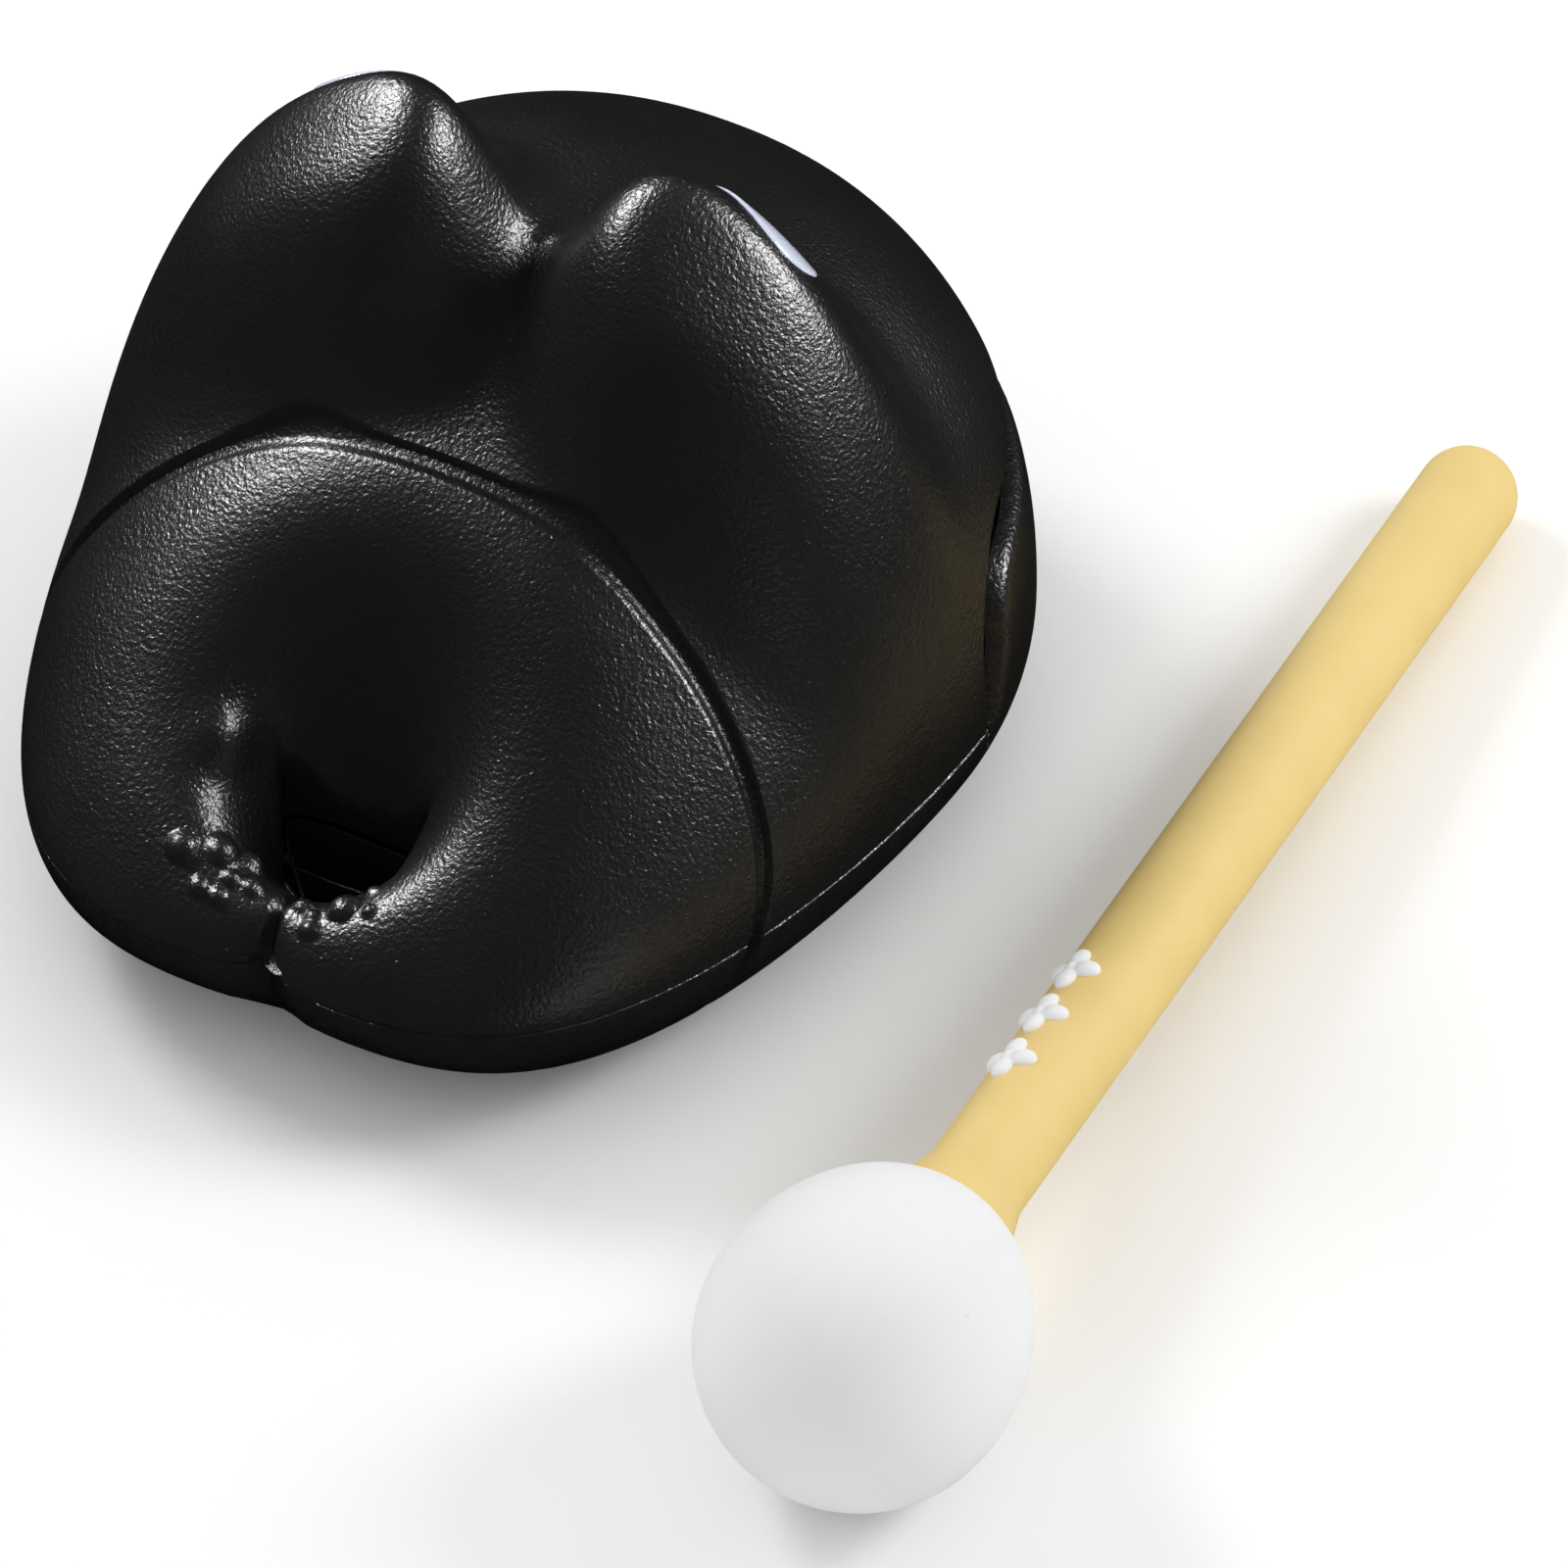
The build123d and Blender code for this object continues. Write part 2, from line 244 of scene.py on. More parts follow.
@dataclass(frozen=True)
class GrainedBlack(Finish):
    """Black moulded plastic with a fine leather grain and a few specks of dust."""

    name: str = "black_grained_plastic"
    deep: Colour = grey(0.0075, -0.03)
    light: Colour = grey(0.0115, 0.03)
    mottle_scale: float = 90.0
    mottle_detail: float = 2.0
    roughness: float = 0.29
    roughness_spread: float = 0.08
    fine_scale: float = 1 / 0.00038
    fine_detail: float = 1.2
    relief_strength: float = 0.9
    relief_depth: float = 0.00011
    specular: float = 0.55
    worm_bend: float = 0.5
    pebbles_per_worm: float = 0.8
    pebble_share: float = 0.45
    dust_colour: Colour = grey(0.30)
    dust_scale: float = 1 / 0.0062
    dust_reach: float = 0.012
    dust_roughness: float = 0.25

    def grain(self, shader: Shader) -> Value:
        """Height of the leather grain, bent worms with pebbles among them."""
        worms = shader.noise(self.fine_scale, self.fine_detail, self.worm_bend)
        return worms + self.pebble_share * shader.cells(self.pebbles_per_worm * self.fine_scale, "SMOOTH_F1")

    def marked(self, shader: Shader, colour: Value, roughness: Value) -> tuple[Value, Value]:
        """The colour and the roughness with specks of dust."""
        dust = shader.cells(self.dust_scale, "F1") < self.dust_reach
        return shader.blend(dust, colour, self.dust_colour), roughness + self.dust_roughness * dust


@dataclass(frozen=True)
class SatinYellow(Finish):
    """Soft yellow plastic of the handle, faintly mottled."""

    name: str = "satin_yellow_plastic"
    deep: Colour = (0.75, 0.545, 0.185, 1.0)
    light: Colour = (0.82, 0.62, 0.235, 1.0)
    mottle_scale: float = 160.0
    mottle_detail: float = 4.0
    roughness: float = 0.62
    roughness_spread: float = 0.12
    fine_scale: float = 5200.0
    fine_detail: float = 2.0
    relief_strength: float = 0.22
    relief_depth: float = 0.00002
    specular: float = 0.3


@dataclass(frozen=True)
class MatteWhite(Finish):
    """Matte white plastic of the egg head, with faint scuffs."""

    name: str = "matte_white_plastic"
    deep: Colour = grey(0.7954, -0.008)
    light: Colour = grey(0.82, -0.004)
    mottle_scale: float = 120.0
    mottle_detail: float = 3.0
    roughness: float = 0.72
    roughness_spread: float = 0.10
    fine_scale: float = 4200.0
    fine_detail: float = 2.0
    relief_strength: float = 0.18
    relief_depth: float = 0.00002
    specular: float = 0.2
    scuff_colour: Colour = grey(0.656)
    scuff_scale: float = 700.0
    scuff_detail: float = 5.0
    scuff_bend: float = 2.5
    scuff_reach: float = 0.30
    scuff_share: float = 0.35

    def marked(self, shader: Shader, colour: Value, roughness: Value) -> tuple[Value, Value]:
        """The colour with scuffs, and the roughness as it is."""
        scuffs = shader.noise(self.scuff_scale, self.scuff_detail, self.scuff_bend) < self.scuff_reach
        return shader.blend(self.scuff_share * scuffs, colour, self.scuff_colour), roughness


@dataclass(frozen=True)
class FlowerWhite(MatteWhite):
    """The same white, a shade lighter, of the raised flowers."""

    name: str = "flower_white_plastic"
    deep: Colour = grey(0.8342, -0.008)
    light: Colour = grey(0.86, -0.004)
    scuff_colour: Colour = grey(0.688)


@dataclass(frozen=True)
class GlossWhite(Finish):
    """Glossy bluish white of the eyes."""

    name: str = "gloss_white_eye"
    deep: Colour = (0.66, 0.72, 0.88, 1.0)
    light: Colour = (0.74, 0.79, 0.93, 1.0)
    mottle_scale: float = 240.0
    mottle_detail: float = 3.0
    roughness: float = 0.10
    roughness_spread: float = 0.08
    fine_scale: float = 900.0
    fine_detail: float = 1.0
    relief_strength: float = 0.05
    relief_depth: float = 0.00002
    coat: float = 0.4


@dataclass(frozen=True)
class PlainSteel(Finish):
    """Turned steel of the screws and the mallet's core."""

    name: str = "plain_steel"
    deep: Colour = grey(0.4675)
    light: Colour = grey(0.55, 0.01)
    mottle_scale: float = 3000.0
    mottle_detail: float = 3.0
    roughness: float = 0.26
    roughness_spread: float = 0.14
    fine_scale: float = 3000.0
    fine_detail: float = 3.0
    relief_strength: float = 0.10
    relief_depth: float = 0.00001
    metallic: float = 1.0


@dataclass(frozen=True)
class SoftBlack(Finish):
    """Soft black rubber of the foot pads."""

    name: str = "soft_black_rubber"
    deep: Colour = grey(0.0154)
    light: Colour = grey(0.022)
    mottle_scale: float = 2600.0
    mottle_detail: float = 4.0
    roughness: float = 0.72
    roughness_spread: float = 0.15
    fine_scale: float = 2600.0
    fine_detail: float = 4.0
    relief_strength: float = 0.3
    relief_depth: float = 0.00004


def deselect() -> None:
    """Selects nothing."""
    bpy.ops.object.select_all(action="DESELECT")


def activate(piece: bpy.types.Object) -> None:
    """Selects one piece alone and makes it the active one."""
    deselect()
    piece.select_set(True)
    bpy.context.view_layer.objects.active = piece


def added(name: str) -> bpy.types.Object:
    """Names the object that an operator has just added, with its mesh.

    Args:
        name: The name for both.

    Returns:
        The object.
    """
    piece = bpy.context.object
    piece.name = name
    piece.data.name = name
    return piece


def ball(name: str, segments: int, rings: int) -> bpy.types.Object:
    """Adds a ball of radius one at the origin, to be shaped.

    Args:
        name: The piece's name.
        segments: Faces round its axis.
        rings: Faces from pole to pole.

    Returns:
        The ball.
    """
    deselect()
    bpy.ops.mesh.primitive_uv_sphere_add(segments=segments, ring_count=rings, radius=1)
    return added(name)


def rows_of(elements: Any, attribute: str, width: int, kind: type = float) -> Array:
    """Reads an attribute of a mesh's elements.

    Args:
        elements: The mesh's list of them.
        attribute: The attribute's name.
        width: How many values each element has.
        kind: The values' type.

    Returns:
        One row for each element.
    """
    flat = np.empty(width * len(elements), dtype=kind)
    elements.foreach_get(attribute, flat)
    return flat.reshape(-1, width)


def points_of(piece: bpy.types.Object) -> Array:
    """The mesh's vertices as rows of three numbers."""
    return rows_of(piece.data.vertices, "co", 3)


def set_points(piece: bpy.types.Object, points: Array) -> None:
    """Moves the mesh's vertices."""
    piece.data.vertices.foreach_set("co", np.ascontiguousarray(points, dtype=np.float64).ravel())
    piece.data.update()


def centres_of(piece: bpy.types.Object) -> Array:
    """The middles of the mesh's faces as rows of three numbers."""
    return rows_of(piece.data.polygons, "center", 3)


def edge_ends(piece: bpy.types.Object) -> Array:
    """The two vertex numbers of each edge."""
    return rows_of(piece.data.edges, "vertices", 2, np.int64)


def open_edges(piece: bpy.types.Object) -> Array:
    """One truth value for each edge: whether only one face uses it."""
    used = rows_of(piece.data.loops, "edge_index", 1, np.int64)[:, 0]
    return np.bincount(used, minlength=len(piece.data.edges)) == 1


def selected(elements: Any) -> Array:
    """One truth value for each element of a mesh's list: whether it is selected."""
    return rows_of(elements, "select", 1, bool)[:, 0]


def edit(piece: bpy.types.Object, picked: Picked, chosen: Array, work: Callable[[], Any]) -> None:
    """Selects vertices, edges or faces and runs an operator on them in edit mode.

    Args:
        piece: The object to edit.
        picked: What to select.
        chosen: One truth value for each of them.
        work: What to run in edit mode.
    """
    activate(piece)
    bpy.context.tool_settings.mesh_select_mode = [kind is picked for kind in Picked]
    for kind in Picked:
        elements = getattr(piece.data, kind.value)
        marks = chosen if kind is picked else np.zeros(len(elements))
        elements.foreach_set("select", np.ascontiguousarray(marks, dtype=bool))
    bpy.ops.object.mode_set(mode="EDIT")
    work()
    bpy.ops.object.mode_set(mode="OBJECT")


def edit_all(piece: bpy.types.Object, work: Callable[[], Any]) -> None:
    """Runs an operator in edit mode on the whole mesh."""
    edit(piece, Picked.VERTICES, np.ones(len(piece.data.vertices)), work)


def face_outwards(piece: bpy.types.Object) -> None:
    """Turns a closed mesh's faces outwards."""
    edit_all(piece, lambda: bpy.ops.mesh.normals_make_consistent(inside=False))


def finish_with(piece: bpy.types.Object, kind: str, **settings: Any) -> None:
    """Adds a modifier to a piece, sets it and applies it.

    Args:
        piece: The object to finish.
        kind: The modifier's type.
        settings: Its properties.
    """
    activate(piece)
    modifier = piece.modifiers.new(kind.lower(), kind)
    for name, setting in settings.items():
        setattr(modifier, name, setting)
    bpy.ops.object.modifier_apply(modifier=modifier.name)


def join(pieces: list[bpy.types.Object], name: str) -> bpy.types.Object:
    """Joins pieces into one mesh.

    Args:
        pieces: What to join.
        name: The joined piece's name.

    Returns:
        The joined piece.
    """
    activate(pieces[0])
    for piece in pieces:
        piece.select_set(True)
    bpy.ops.object.join()
    return added(name)


def settle(piece: bpy.types.Object) -> None:
    """Moves a piece's place into its mesh, so that its object sits at the origin."""
    activate(piece)
    bpy.ops.object.transform_apply(location=True, rotation=True, scale=True)


def dress(piece: bpy.types.Object, material: bpy.types.Material) -> None:
    """Gives a piece one material all over."""
    piece.data.materials.clear()
    piece.data.materials.append(material)


class Assembly:
    """One body of the frame, with the angle past which the edges of its pieces stay sharp."""

    body: ClassVar[Body]
    sharp_angle: ClassVar[float]

    def close(self, piece: bpy.types.Object, finish: bpy.types.Material, slot: str, node: str) -> None:
        """Shades and dresses a finished piece, and lets it ride on the body in a node's place.

        Args:
            piece: The finished piece.
            finish: Its material.
            slot: The record's material slot; not used.
            node: The node that it replaces.
        """
        activate(piece)
        bpy.ops.object.shade_smooth_by_angle(angle=math.radians(self.sharp_angle))
        dress(piece, finish)
        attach(piece, self.body.value)
        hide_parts(node)
        LOG.info("%s: %d faces on %s", piece.name, len(piece.data.polygons), self.body.value)


def corner(across: Array, up: Array, radius: float) -> Array:
    """Depth inside a quarter plane with a rounded corner, negative outside it.

    Args:
        across: Depth inside its upright side.
        up: Depth inside its level side.
        radius: Radius of the corner.

    Returns:
        The depth.
    """
    rounded = radius - np.hypot(radius - across, radius - up)
    return np.where((across < radius) & (up < radius), rounded, np.minimum(across, up))


def quarter_round(depth: Array, radius: float) -> Array:
    """How far a rounded edge falls back from the plain surface at a distance from that edge."""
    share = np.clip(1 - depth / radius, 0, 1)
    return radius * (1 - np.sqrt(1 - share**2))


def step_between(low: float, high: float, value: Array) -> Array:
    """A smooth step from nought at low to one at high."""
    share = np.clip((value - low) / (high - low), 0, 1)
    return share * share * (3 - 2 * share)


@dataclass(frozen=True)
class Bead:
    """A raised bead of the tail's ornament, at a place across the fish and along it from the tail's end."""

    across: float
    station: float
    radius: float
    ringed: bool = False


@dataclass(frozen=True)
class FishForm:
    """The moulded form of the fish: a dome with two eye humps, and a looped tail with a basin in it."""

    length: float = 100.0
    half_width: float = 42.5
    widest: float = 57.0
    parting: float = 14.0
    dome_rise: float = 43.5
    dome_station: float = 55.0
    plan_power: float = 1.6
    plan_root: float = 3.4
    side_power: float = 1.15
    side_root: float = 1.05
    nose_power: float = 2.2
    belly_power: float = 4.0
    belly_squareness: float = 0.45
    belly_spare: float = 0.8
    base_softness: float = 0.4
    upper_squareness: float = 0.92
    hump_station: float = 49.0
    hump_offset: float = 17.5
    hump_rise: float = 17.2
    hump_in: float = 13.5
    hump_out: float = 32.0
    hump_back: float = 10.6
    hump_front: float = 13.5
    hump_power: float = 2.1
    middle_softness: float = 1.5
    loop_station: float = 17.0
    loop_across: float = 22.0
    loop_along: float = 13.0
    loop_softness: float = 0.6
    loop_rise: float = 3.0
    basin_station: float = 16.0
    basin_depth: float = 11.0
    basin_reach: float = 10.0
    funnel_station: float = 18.0
    funnel_depth: float = 7.6
    funnel_along: float = 8.0
    funnel_across: float = 9.0
    funnel_power: int = 3
    notch_depth: float = 3.2
    notch_reach: float = 2.6
    notch_fade: float = 9.0
    end_fade: float = 0.8

    def station_of(self, points: Array) -> Array:
        """Distances of points from the tail's end."""
        return self.length / 2 - points[..., 1]

    def either_side(self, station: Array, middle: float) -> tuple[Array, Array]:
        """How far stations lie ahead of a middle one and behind it.

        Args:
            station: Distances from the tail's end.
            middle: The middle station.

        Returns:
            Shares of the way from the middle to the nose, and to the tail's end.
        """
        ahead = np.clip((station - middle) / (self.length - middle), 0, 1)
        behind = np.clip((middle - station) / middle, 0, 1)
        return ahead, behind

    def width_at(self, station: Array) -> Array:
        """Half the width of the fish.

        Args:
            station: Distances from the tail's end.

        Returns:
            The half width at each.
        """
        ahead, behind = self.either_side(station, self.widest)
        tail = (1 - behind**self.plan_power) ** (1 / self.plan_root)
        return self.half_width * np.sqrt(1 - ahead**2) * tail

    def crown_at(self, station: Array) -> Array:
        """Rise of the plain dome above the parting line.

        Args:
            station: Distances from the tail's end.

        Returns:
            The rise at each.
        """
        ahead, behind = self.either_side(station, self.dome_station)
        nose = (1 - ahead**self.nose_power) ** (1 / self.nose_power)
        tail = (1 - behind**self.side_power) ** (1 / self.side_root)
        return self.dome_rise * nose * tail

    def belly_at(self, station: Array) -> Array:
        """Depth of the belly below the parting line at stations along the fish."""
        share = np.abs(2 * station / self.length - 1)
        return (self.parting + self.belly_spare) * np.sqrt(np.clip(1 - share**self.belly_power, 0, 1))

    def relief(self, across: Array, station: Array) -> Array:
        """Height that the humps and the tail's loop add to the dome, less the loop's basin and funnel.

        Args:
            across: Places across the fish.
            station: Distances from the tail's end.

        Returns:
            The height at each.
        """
        aside = np.hypot(across, self.middle_softness) - self.hump_offset
        reach_across = np.where(aside > 0, self.hump_out, self.hump_in)
        reach_along = np.where(station > self.hump_station, self.hump_front, self.hump_back)
        crest = np.hypot(aside / reach_across, (station - self.hump_station) / reach_along)
        hump = self.hump_rise * np.exp(-(crest ** (2 * self.hump_power)))
        on_loop = np.hypot(across / self.loop_across, (station - self.loop_station) / self.loop_along)
        loop = self.loop_rise * np.exp(-(((on_loop - 1) / self.loop_softness) ** 2))
        in_basin = np.hypot(across, station - self.basin_station) / self.basin_reach
        basin = self.basin_depth * np.exp(-(in_basin**2))
        in_funnel = np.hypot(across / self.funnel_across, (station - self.funnel_station) / self.funnel_along)
        funnel = self.funnel_depth * np.exp(-(in_funnel**self.funnel_power))
        return (hump + loop - basin - funnel) * (1 - np.exp(-station / self.end_fade))

    def point(self, angle: Array, station: Array) -> Array:
        """Points of the form.

        Args:
            angle: Degrees round the section: 0 at the +X flank's parting line, 90 at the crown.
            station: Distances from the tail's end.

        Returns:
            Rows of x, y and z.
        """
        station = np.clip(station, 0, self.length)
        turn = np.radians(angle)
        level, rise = np.cos(turn), np.sin(turn)
        above = rise >= 0
        squareness = np.where(above, self.upper_squareness, self.belly_squareness)
        x = self.width_at(station) * np.sign(level) * np.abs(level) ** squareness
        crown = self.crown_at(station) + self.relief(x, station)
        upper = self.parting + crown * np.abs(rise) ** self.upper_squareness
        lower = self.parting - self.belly_at(station) * np.abs(rise)
        lower = (lower + np.hypot(lower, self.base_softness)) / 2
        fade = np.clip(1 - station / self.notch_fade, 0, 1) ** 2
        notch = self.notch_depth * np.exp(-np.abs(x) / self.notch_reach) * fade
        return np.stack([x, self.length / 2 - station - notch, np.where(above, upper, lower)], -1)

    def angle_at(self, across: float, station: float) -> float:
        """The angle round the section of a place on the upper side.

        Args:
            across: The place across the fish.
            station: Its distance from the tail's end.

        Returns:
            The angle in degrees.
        """
        share = abs(across) / float(self.width_at(np.array(station)))
        angle = math.degrees(math.acos(share ** (1 / self.upper_squareness)))
        return angle if across > 0 else 180 - angle

    def on_top(self, across: float, station: float) -> Array:
        """The point of the upper side at a place across the fish and along it."""
        return self.point(np.array(self.angle_at(across, station)), np.array(station))


@dataclass(frozen=True)
class Opening:
    """Outlines that are cut in the form: the mouth, the lower lip in it, and the hole in the tail."""

    parting: float = FishForm.parting
    mouth_rear: float = -9.0
    mouth_top: float = 31.0
    mouth_floor: float = 12.0
    mouth_corner: float = 10.0
    slit: float = 3.4
    slit_taper: float = 9.0
    hole_front: float = 30.0
    hole_rear: float = 40.6
    hole_half: float = 9.0
    hole_softness: float = 2.2
    tip_softness: float = 0.8

    def mouth(self, points: Array) -> Array:
        """Depth inside the mouth's side outline."""
        return corner(self.mouth_rear - points[..., 1], self.mouth_top - points[..., 2], self.mouth_corner)

    def lip(self, points: Array) -> Array:
        """Depth inside the lower lip's side outline, with a slit round it that closes at the mouth's corner.

        Args:
            points: Points in millimetres.

        Returns:
            The depth of each, negative outside.
        """
        gap = self.slit * np.clip((points[..., 2] - self.mouth_floor) / self.slit_taper, 0, 1)
        across = self.mouth_rear - gap - points[..., 1]
        up = self.mouth_top - self.slit - points[..., 2]
        return corner(across, up, self.mouth_corner - self.slit)

    def beside_hole(self, points: Array) -> Array:
        """Distance outside the tail's hole, a rounded triangle in plan.

        Args:
            points: Points in millimetres.

        Returns:
            The distance of each, negative in the hole.
        """
        aside = np.hypot(points[..., 0], self.tip_softness) - self.hole_half
        ahead = self.hole_front - points[..., 1]
        depth = self.hole_rear - self.hole_front
        slant = (aside * depth - ahead * self.hole_half) / math.hypot(depth, self.hole_half)
        return (ahead + slant + np.hypot(ahead - slant, self.hole_softness)) / 2

    def upper(self, points: Array) -> Array:
        """Depth inside the upper shell's outline."""
        above = np.minimum(points[..., 2] - self.parting, -self.mouth(points))
        return np.minimum(above, self.beside_hole(points))

    def lower(self, points: Array) -> Array:
        """Depth inside the lower shell's outline.

        Args:
            points: Points in millimetres.

        Returns:
            The depth of each, negative outside.
        """
        behind = np.minimum(self.parting - points[..., 2], points[..., 1] - self.mouth_rear)
        below = np.maximum(behind, self.mouth_floor - points[..., 2])
        return np.minimum(np.maximum(below, self.lip(points)), self.beside_hole(points))


@dataclass(frozen=True)
class Moulding:
    """Fine relief of the shells: the groove round the neck, rounded edges, the crease, beads and a knob."""

    form: FishForm
    opening: Opening
    groove_station: float = 25.6
    groove_lean: float = 17.5
    groove_depth: float = 0.9
    groove_floor: float = 0.28
    groove_tail_edge: float = 1.15
    groove_neck_edge: float = 0.66
    groove_rounds: int = 30
    groove_foot: float = 4.0
    groove_foot_rise: float = 1.0
    parting_edge: float = 0.18
    mouth_edge: float = 1.1
    lip_edge: float = 1.7
    hole_edge: float = 1.0
    crease_depth: float = 0.9
    crease_width: float = 0.5
    crease_end: float = 10.0
    crease_fade: float = 2.0
    crease_foot: float = 3.0
    ring_gap: float = 0.55
    ring_width: float = 0.55
    ring_depth: float = 0.5
    bead_power: float = 1.05
    bead_rise: float = 0.66
    bead_spread: float = 1.2
    ornament_half: float = 13.5
    ornament_end: float = 12.0
    knob: tuple[float, float] = (11.3, 15.2)
    knob_radius: float = 2.6
    knob_rise: float = 1.3
    beads: tuple[Bead, ...] = (
        Bead(10.1, 5.7, 1.5, True),
        Bead(6.9, 7.4, 1.45),
        Bead(4.8, 9.0, 1.2),
        Bead(5.0, 5.5, 0.85),
        Bead(5.4, 3.5, 0.85),
        Bead(7.3, 3.6, 0.85),
        Bead(3.1, 5.8, 1.0),
        Bead(-5.7, 6.7, 1.6, True),
        Bead(-1.9, 6.1, 0.95),
        Bead(-3.7, 3.7, 0.9),
        Bead(-3.3, 5.1, 0.65),
        Bead(-7.2, 9.3, 0.75),
        Bead(-8.3, 6.6, 0.65),
    )

    def groove_side(self, points: Array) -> Array:
        """Distance from the groove's middle plane, positive towards the neck.

        Args:
            points: Points in millimetres.

        Returns:
            The distance of each.
        """
        lean = math.radians(self.groove_lean)
        rise = points[..., 2] - self.form.parting
        ahead = self.form.station_of(points) - self.groove_station
        return ahead * math.cos(lean) - rise * math.sin(lean)

    def groove(self, points: Array) -> Array:
        """Depth of the groove, with a fat rounded edge on the tail's side and a crisp one on the neck's.

        Args:
            points: Points in millimetres.

        Returns:
            The depth at each.
        """
        side = self.groove_side(points)
        behind = step_between(self.groove_floor, self.groove_tail_edge, -side)
        ahead = step_between(self.groove_floor, self.groove_neck_edge, side)
        foot_end = self.groove_foot + self.groove_foot_rise
        foot = step_between(self.groove_foot - self.groove_floor, foot_end, points[..., 2])
        return self.groove_depth * (1 - np.maximum(behind, ahead)) * foot

    def along_groove(self, plan: Array) -> Array:
        """Stations of a grid, shifted so that its rows run along the groove.

        Args:
            plan: Rows of angle and station.

        Returns:
            The shifted stations.
        """
        angle, station = plan[:, 0], plan[:, 1]
        slope = math.tan(math.radians(self.groove_lean))
        groove = np.full(len(plan), self.groove_station)
        for _ in range(self.groove_rounds):
            rise = self.form.point(angle, groove)[:, 2] - self.form.parting
            groove = (groove + self.groove_station + slope * rise) / 2
        behind = station * groove / self.groove_station
        left = self.form.length - self.groove_station
        ahead = self.form.length - (self.form.length - station) * (self.form.length - groove) / left
        return np.where(station < self.groove_station, behind, ahead)

    def ornament(self, points: Array) -> Array:
        """Height of the beads and the knob, less the rings round the large beads and the tail's crease.

        Args:
            points: Points in millimetres.

        Returns:
            The height at each.
        """
        height = np.zeros(len(points))
        for bead in self.beads:
            away = np.linalg.norm(points - self.form.on_top(bead.across, bead.station), axis=-1)
            cap = np.clip(1 - (away / (self.bead_spread * bead.radius)) ** 2, 0, 1) ** self.bead_power
            height = np.maximum(height, self.bead_rise * bead.radius * cap)
            if bead.ringed:
                off_ring = (away - bead.radius - self.ring_gap) / self.ring_width
                height = height - self.ring_depth * np.exp(-(off_ring**2))
        from_knob = np.linalg.norm(points - self.form.on_top(*self.knob), axis=-1) / self.knob_radius
        height = height + self.knob_rise * np.exp(-(from_knob**2))
        crease_start = self.crease_end - self.crease_fade
        fade = 1 - step_between(crease_start, self.crease_end, self.form.station_of(points))
        above = points[..., 2] - self.form.parting
        crease = np.exp(-((points[..., 0] / self.crease_width) ** 2)) * fade
        crease = crease * step_between(0, self.crease_foot, above)
        return height - self.crease_depth * crease

    def upper_fall(self, points: Array) -> Array:
        """How far the upper shell falls back from the plain form.

        Args:
            points: Points of the plain form in millimetres.

        Returns:
            The fall at each.
        """
        edges = quarter_round(points[..., 2] - self.form.parting, self.parting_edge)
        edges = edges + quarter_round(-self.opening.mouth(points), self.mouth_edge)
        edges = edges + quarter_round(self.opening.beside_hole(points), self.hole_edge)
        return edges + self.groove(points) - self.ornament(points)

    def lower_fall(self, points: Array) -> Array:
        """How far the lower shell falls back from the plain form.

        Args:
            points: Points of the plain form in millimetres.

        Returns:
            The fall at each.
        """
        in_lip = points[..., 1] < self.opening.mouth_rear
        depth = self.opening.lower(points)
        edges = np.where(in_lip, quarter_round(depth, self.lip_edge), quarter_round(depth, self.parting_edge))
        return edges + self.groove(points)

    def near_groove(self, points: Array) -> Array:
        """Distance from the groove."""
        return np.abs(self.groove_side(points))

    def near_ornament(self, points: Array) -> Array:
        """Distance from the beads and the crease, by their zone on the tail."""
        past_end = self.form.station_of(points) - self.ornament_end
        return np.maximum(np.abs(points[..., 0]) - self.ornament_half, past_end)


@dataclass(frozen=True)
class Band:
    """A zone of a skin that gets finer faces: a distance, its reach and the cuts to each face."""

    distance: Field
    reach: float
    cuts: int


@dataclass(frozen=True)
class Window:
    """The angles and stations that a skin's grid covers, with its count of faces each way."""

    angles: tuple[float, float] = (0.0, 180.0)
    stations: tuple[float, float] = (0.0, FishForm.length)
    columns: int = 190
    rows: int = 190
    whole: bool = True
    flank_crowding: float = 0.5

    def spread(self, grid: Array) -> Array:
        """Turns a unit grid's places into angles and stations, crowded at the flanks and the ends.

        Args:
            grid: The grid's vertices.

        Returns:
            Rows of angle, station and nought.
        """
        share = grid[:, :2] + 0.5
        angle = self.angles[0] + (self.angles[1] - self.angles[0]) * share[:, 0]
        along = share[:, 1]
        if self.whole:
            angle = angle - np.degrees(self.flank_crowding * np.sin(2 * np.radians(angle)) / 2)
            along = (1 - np.cos(np.pi * along)) / 2
        station = self.stations[0] + (self.stations[1] - self.stations[0]) * along
        return np.stack([angle, station, np.zeros(len(grid))], -1)


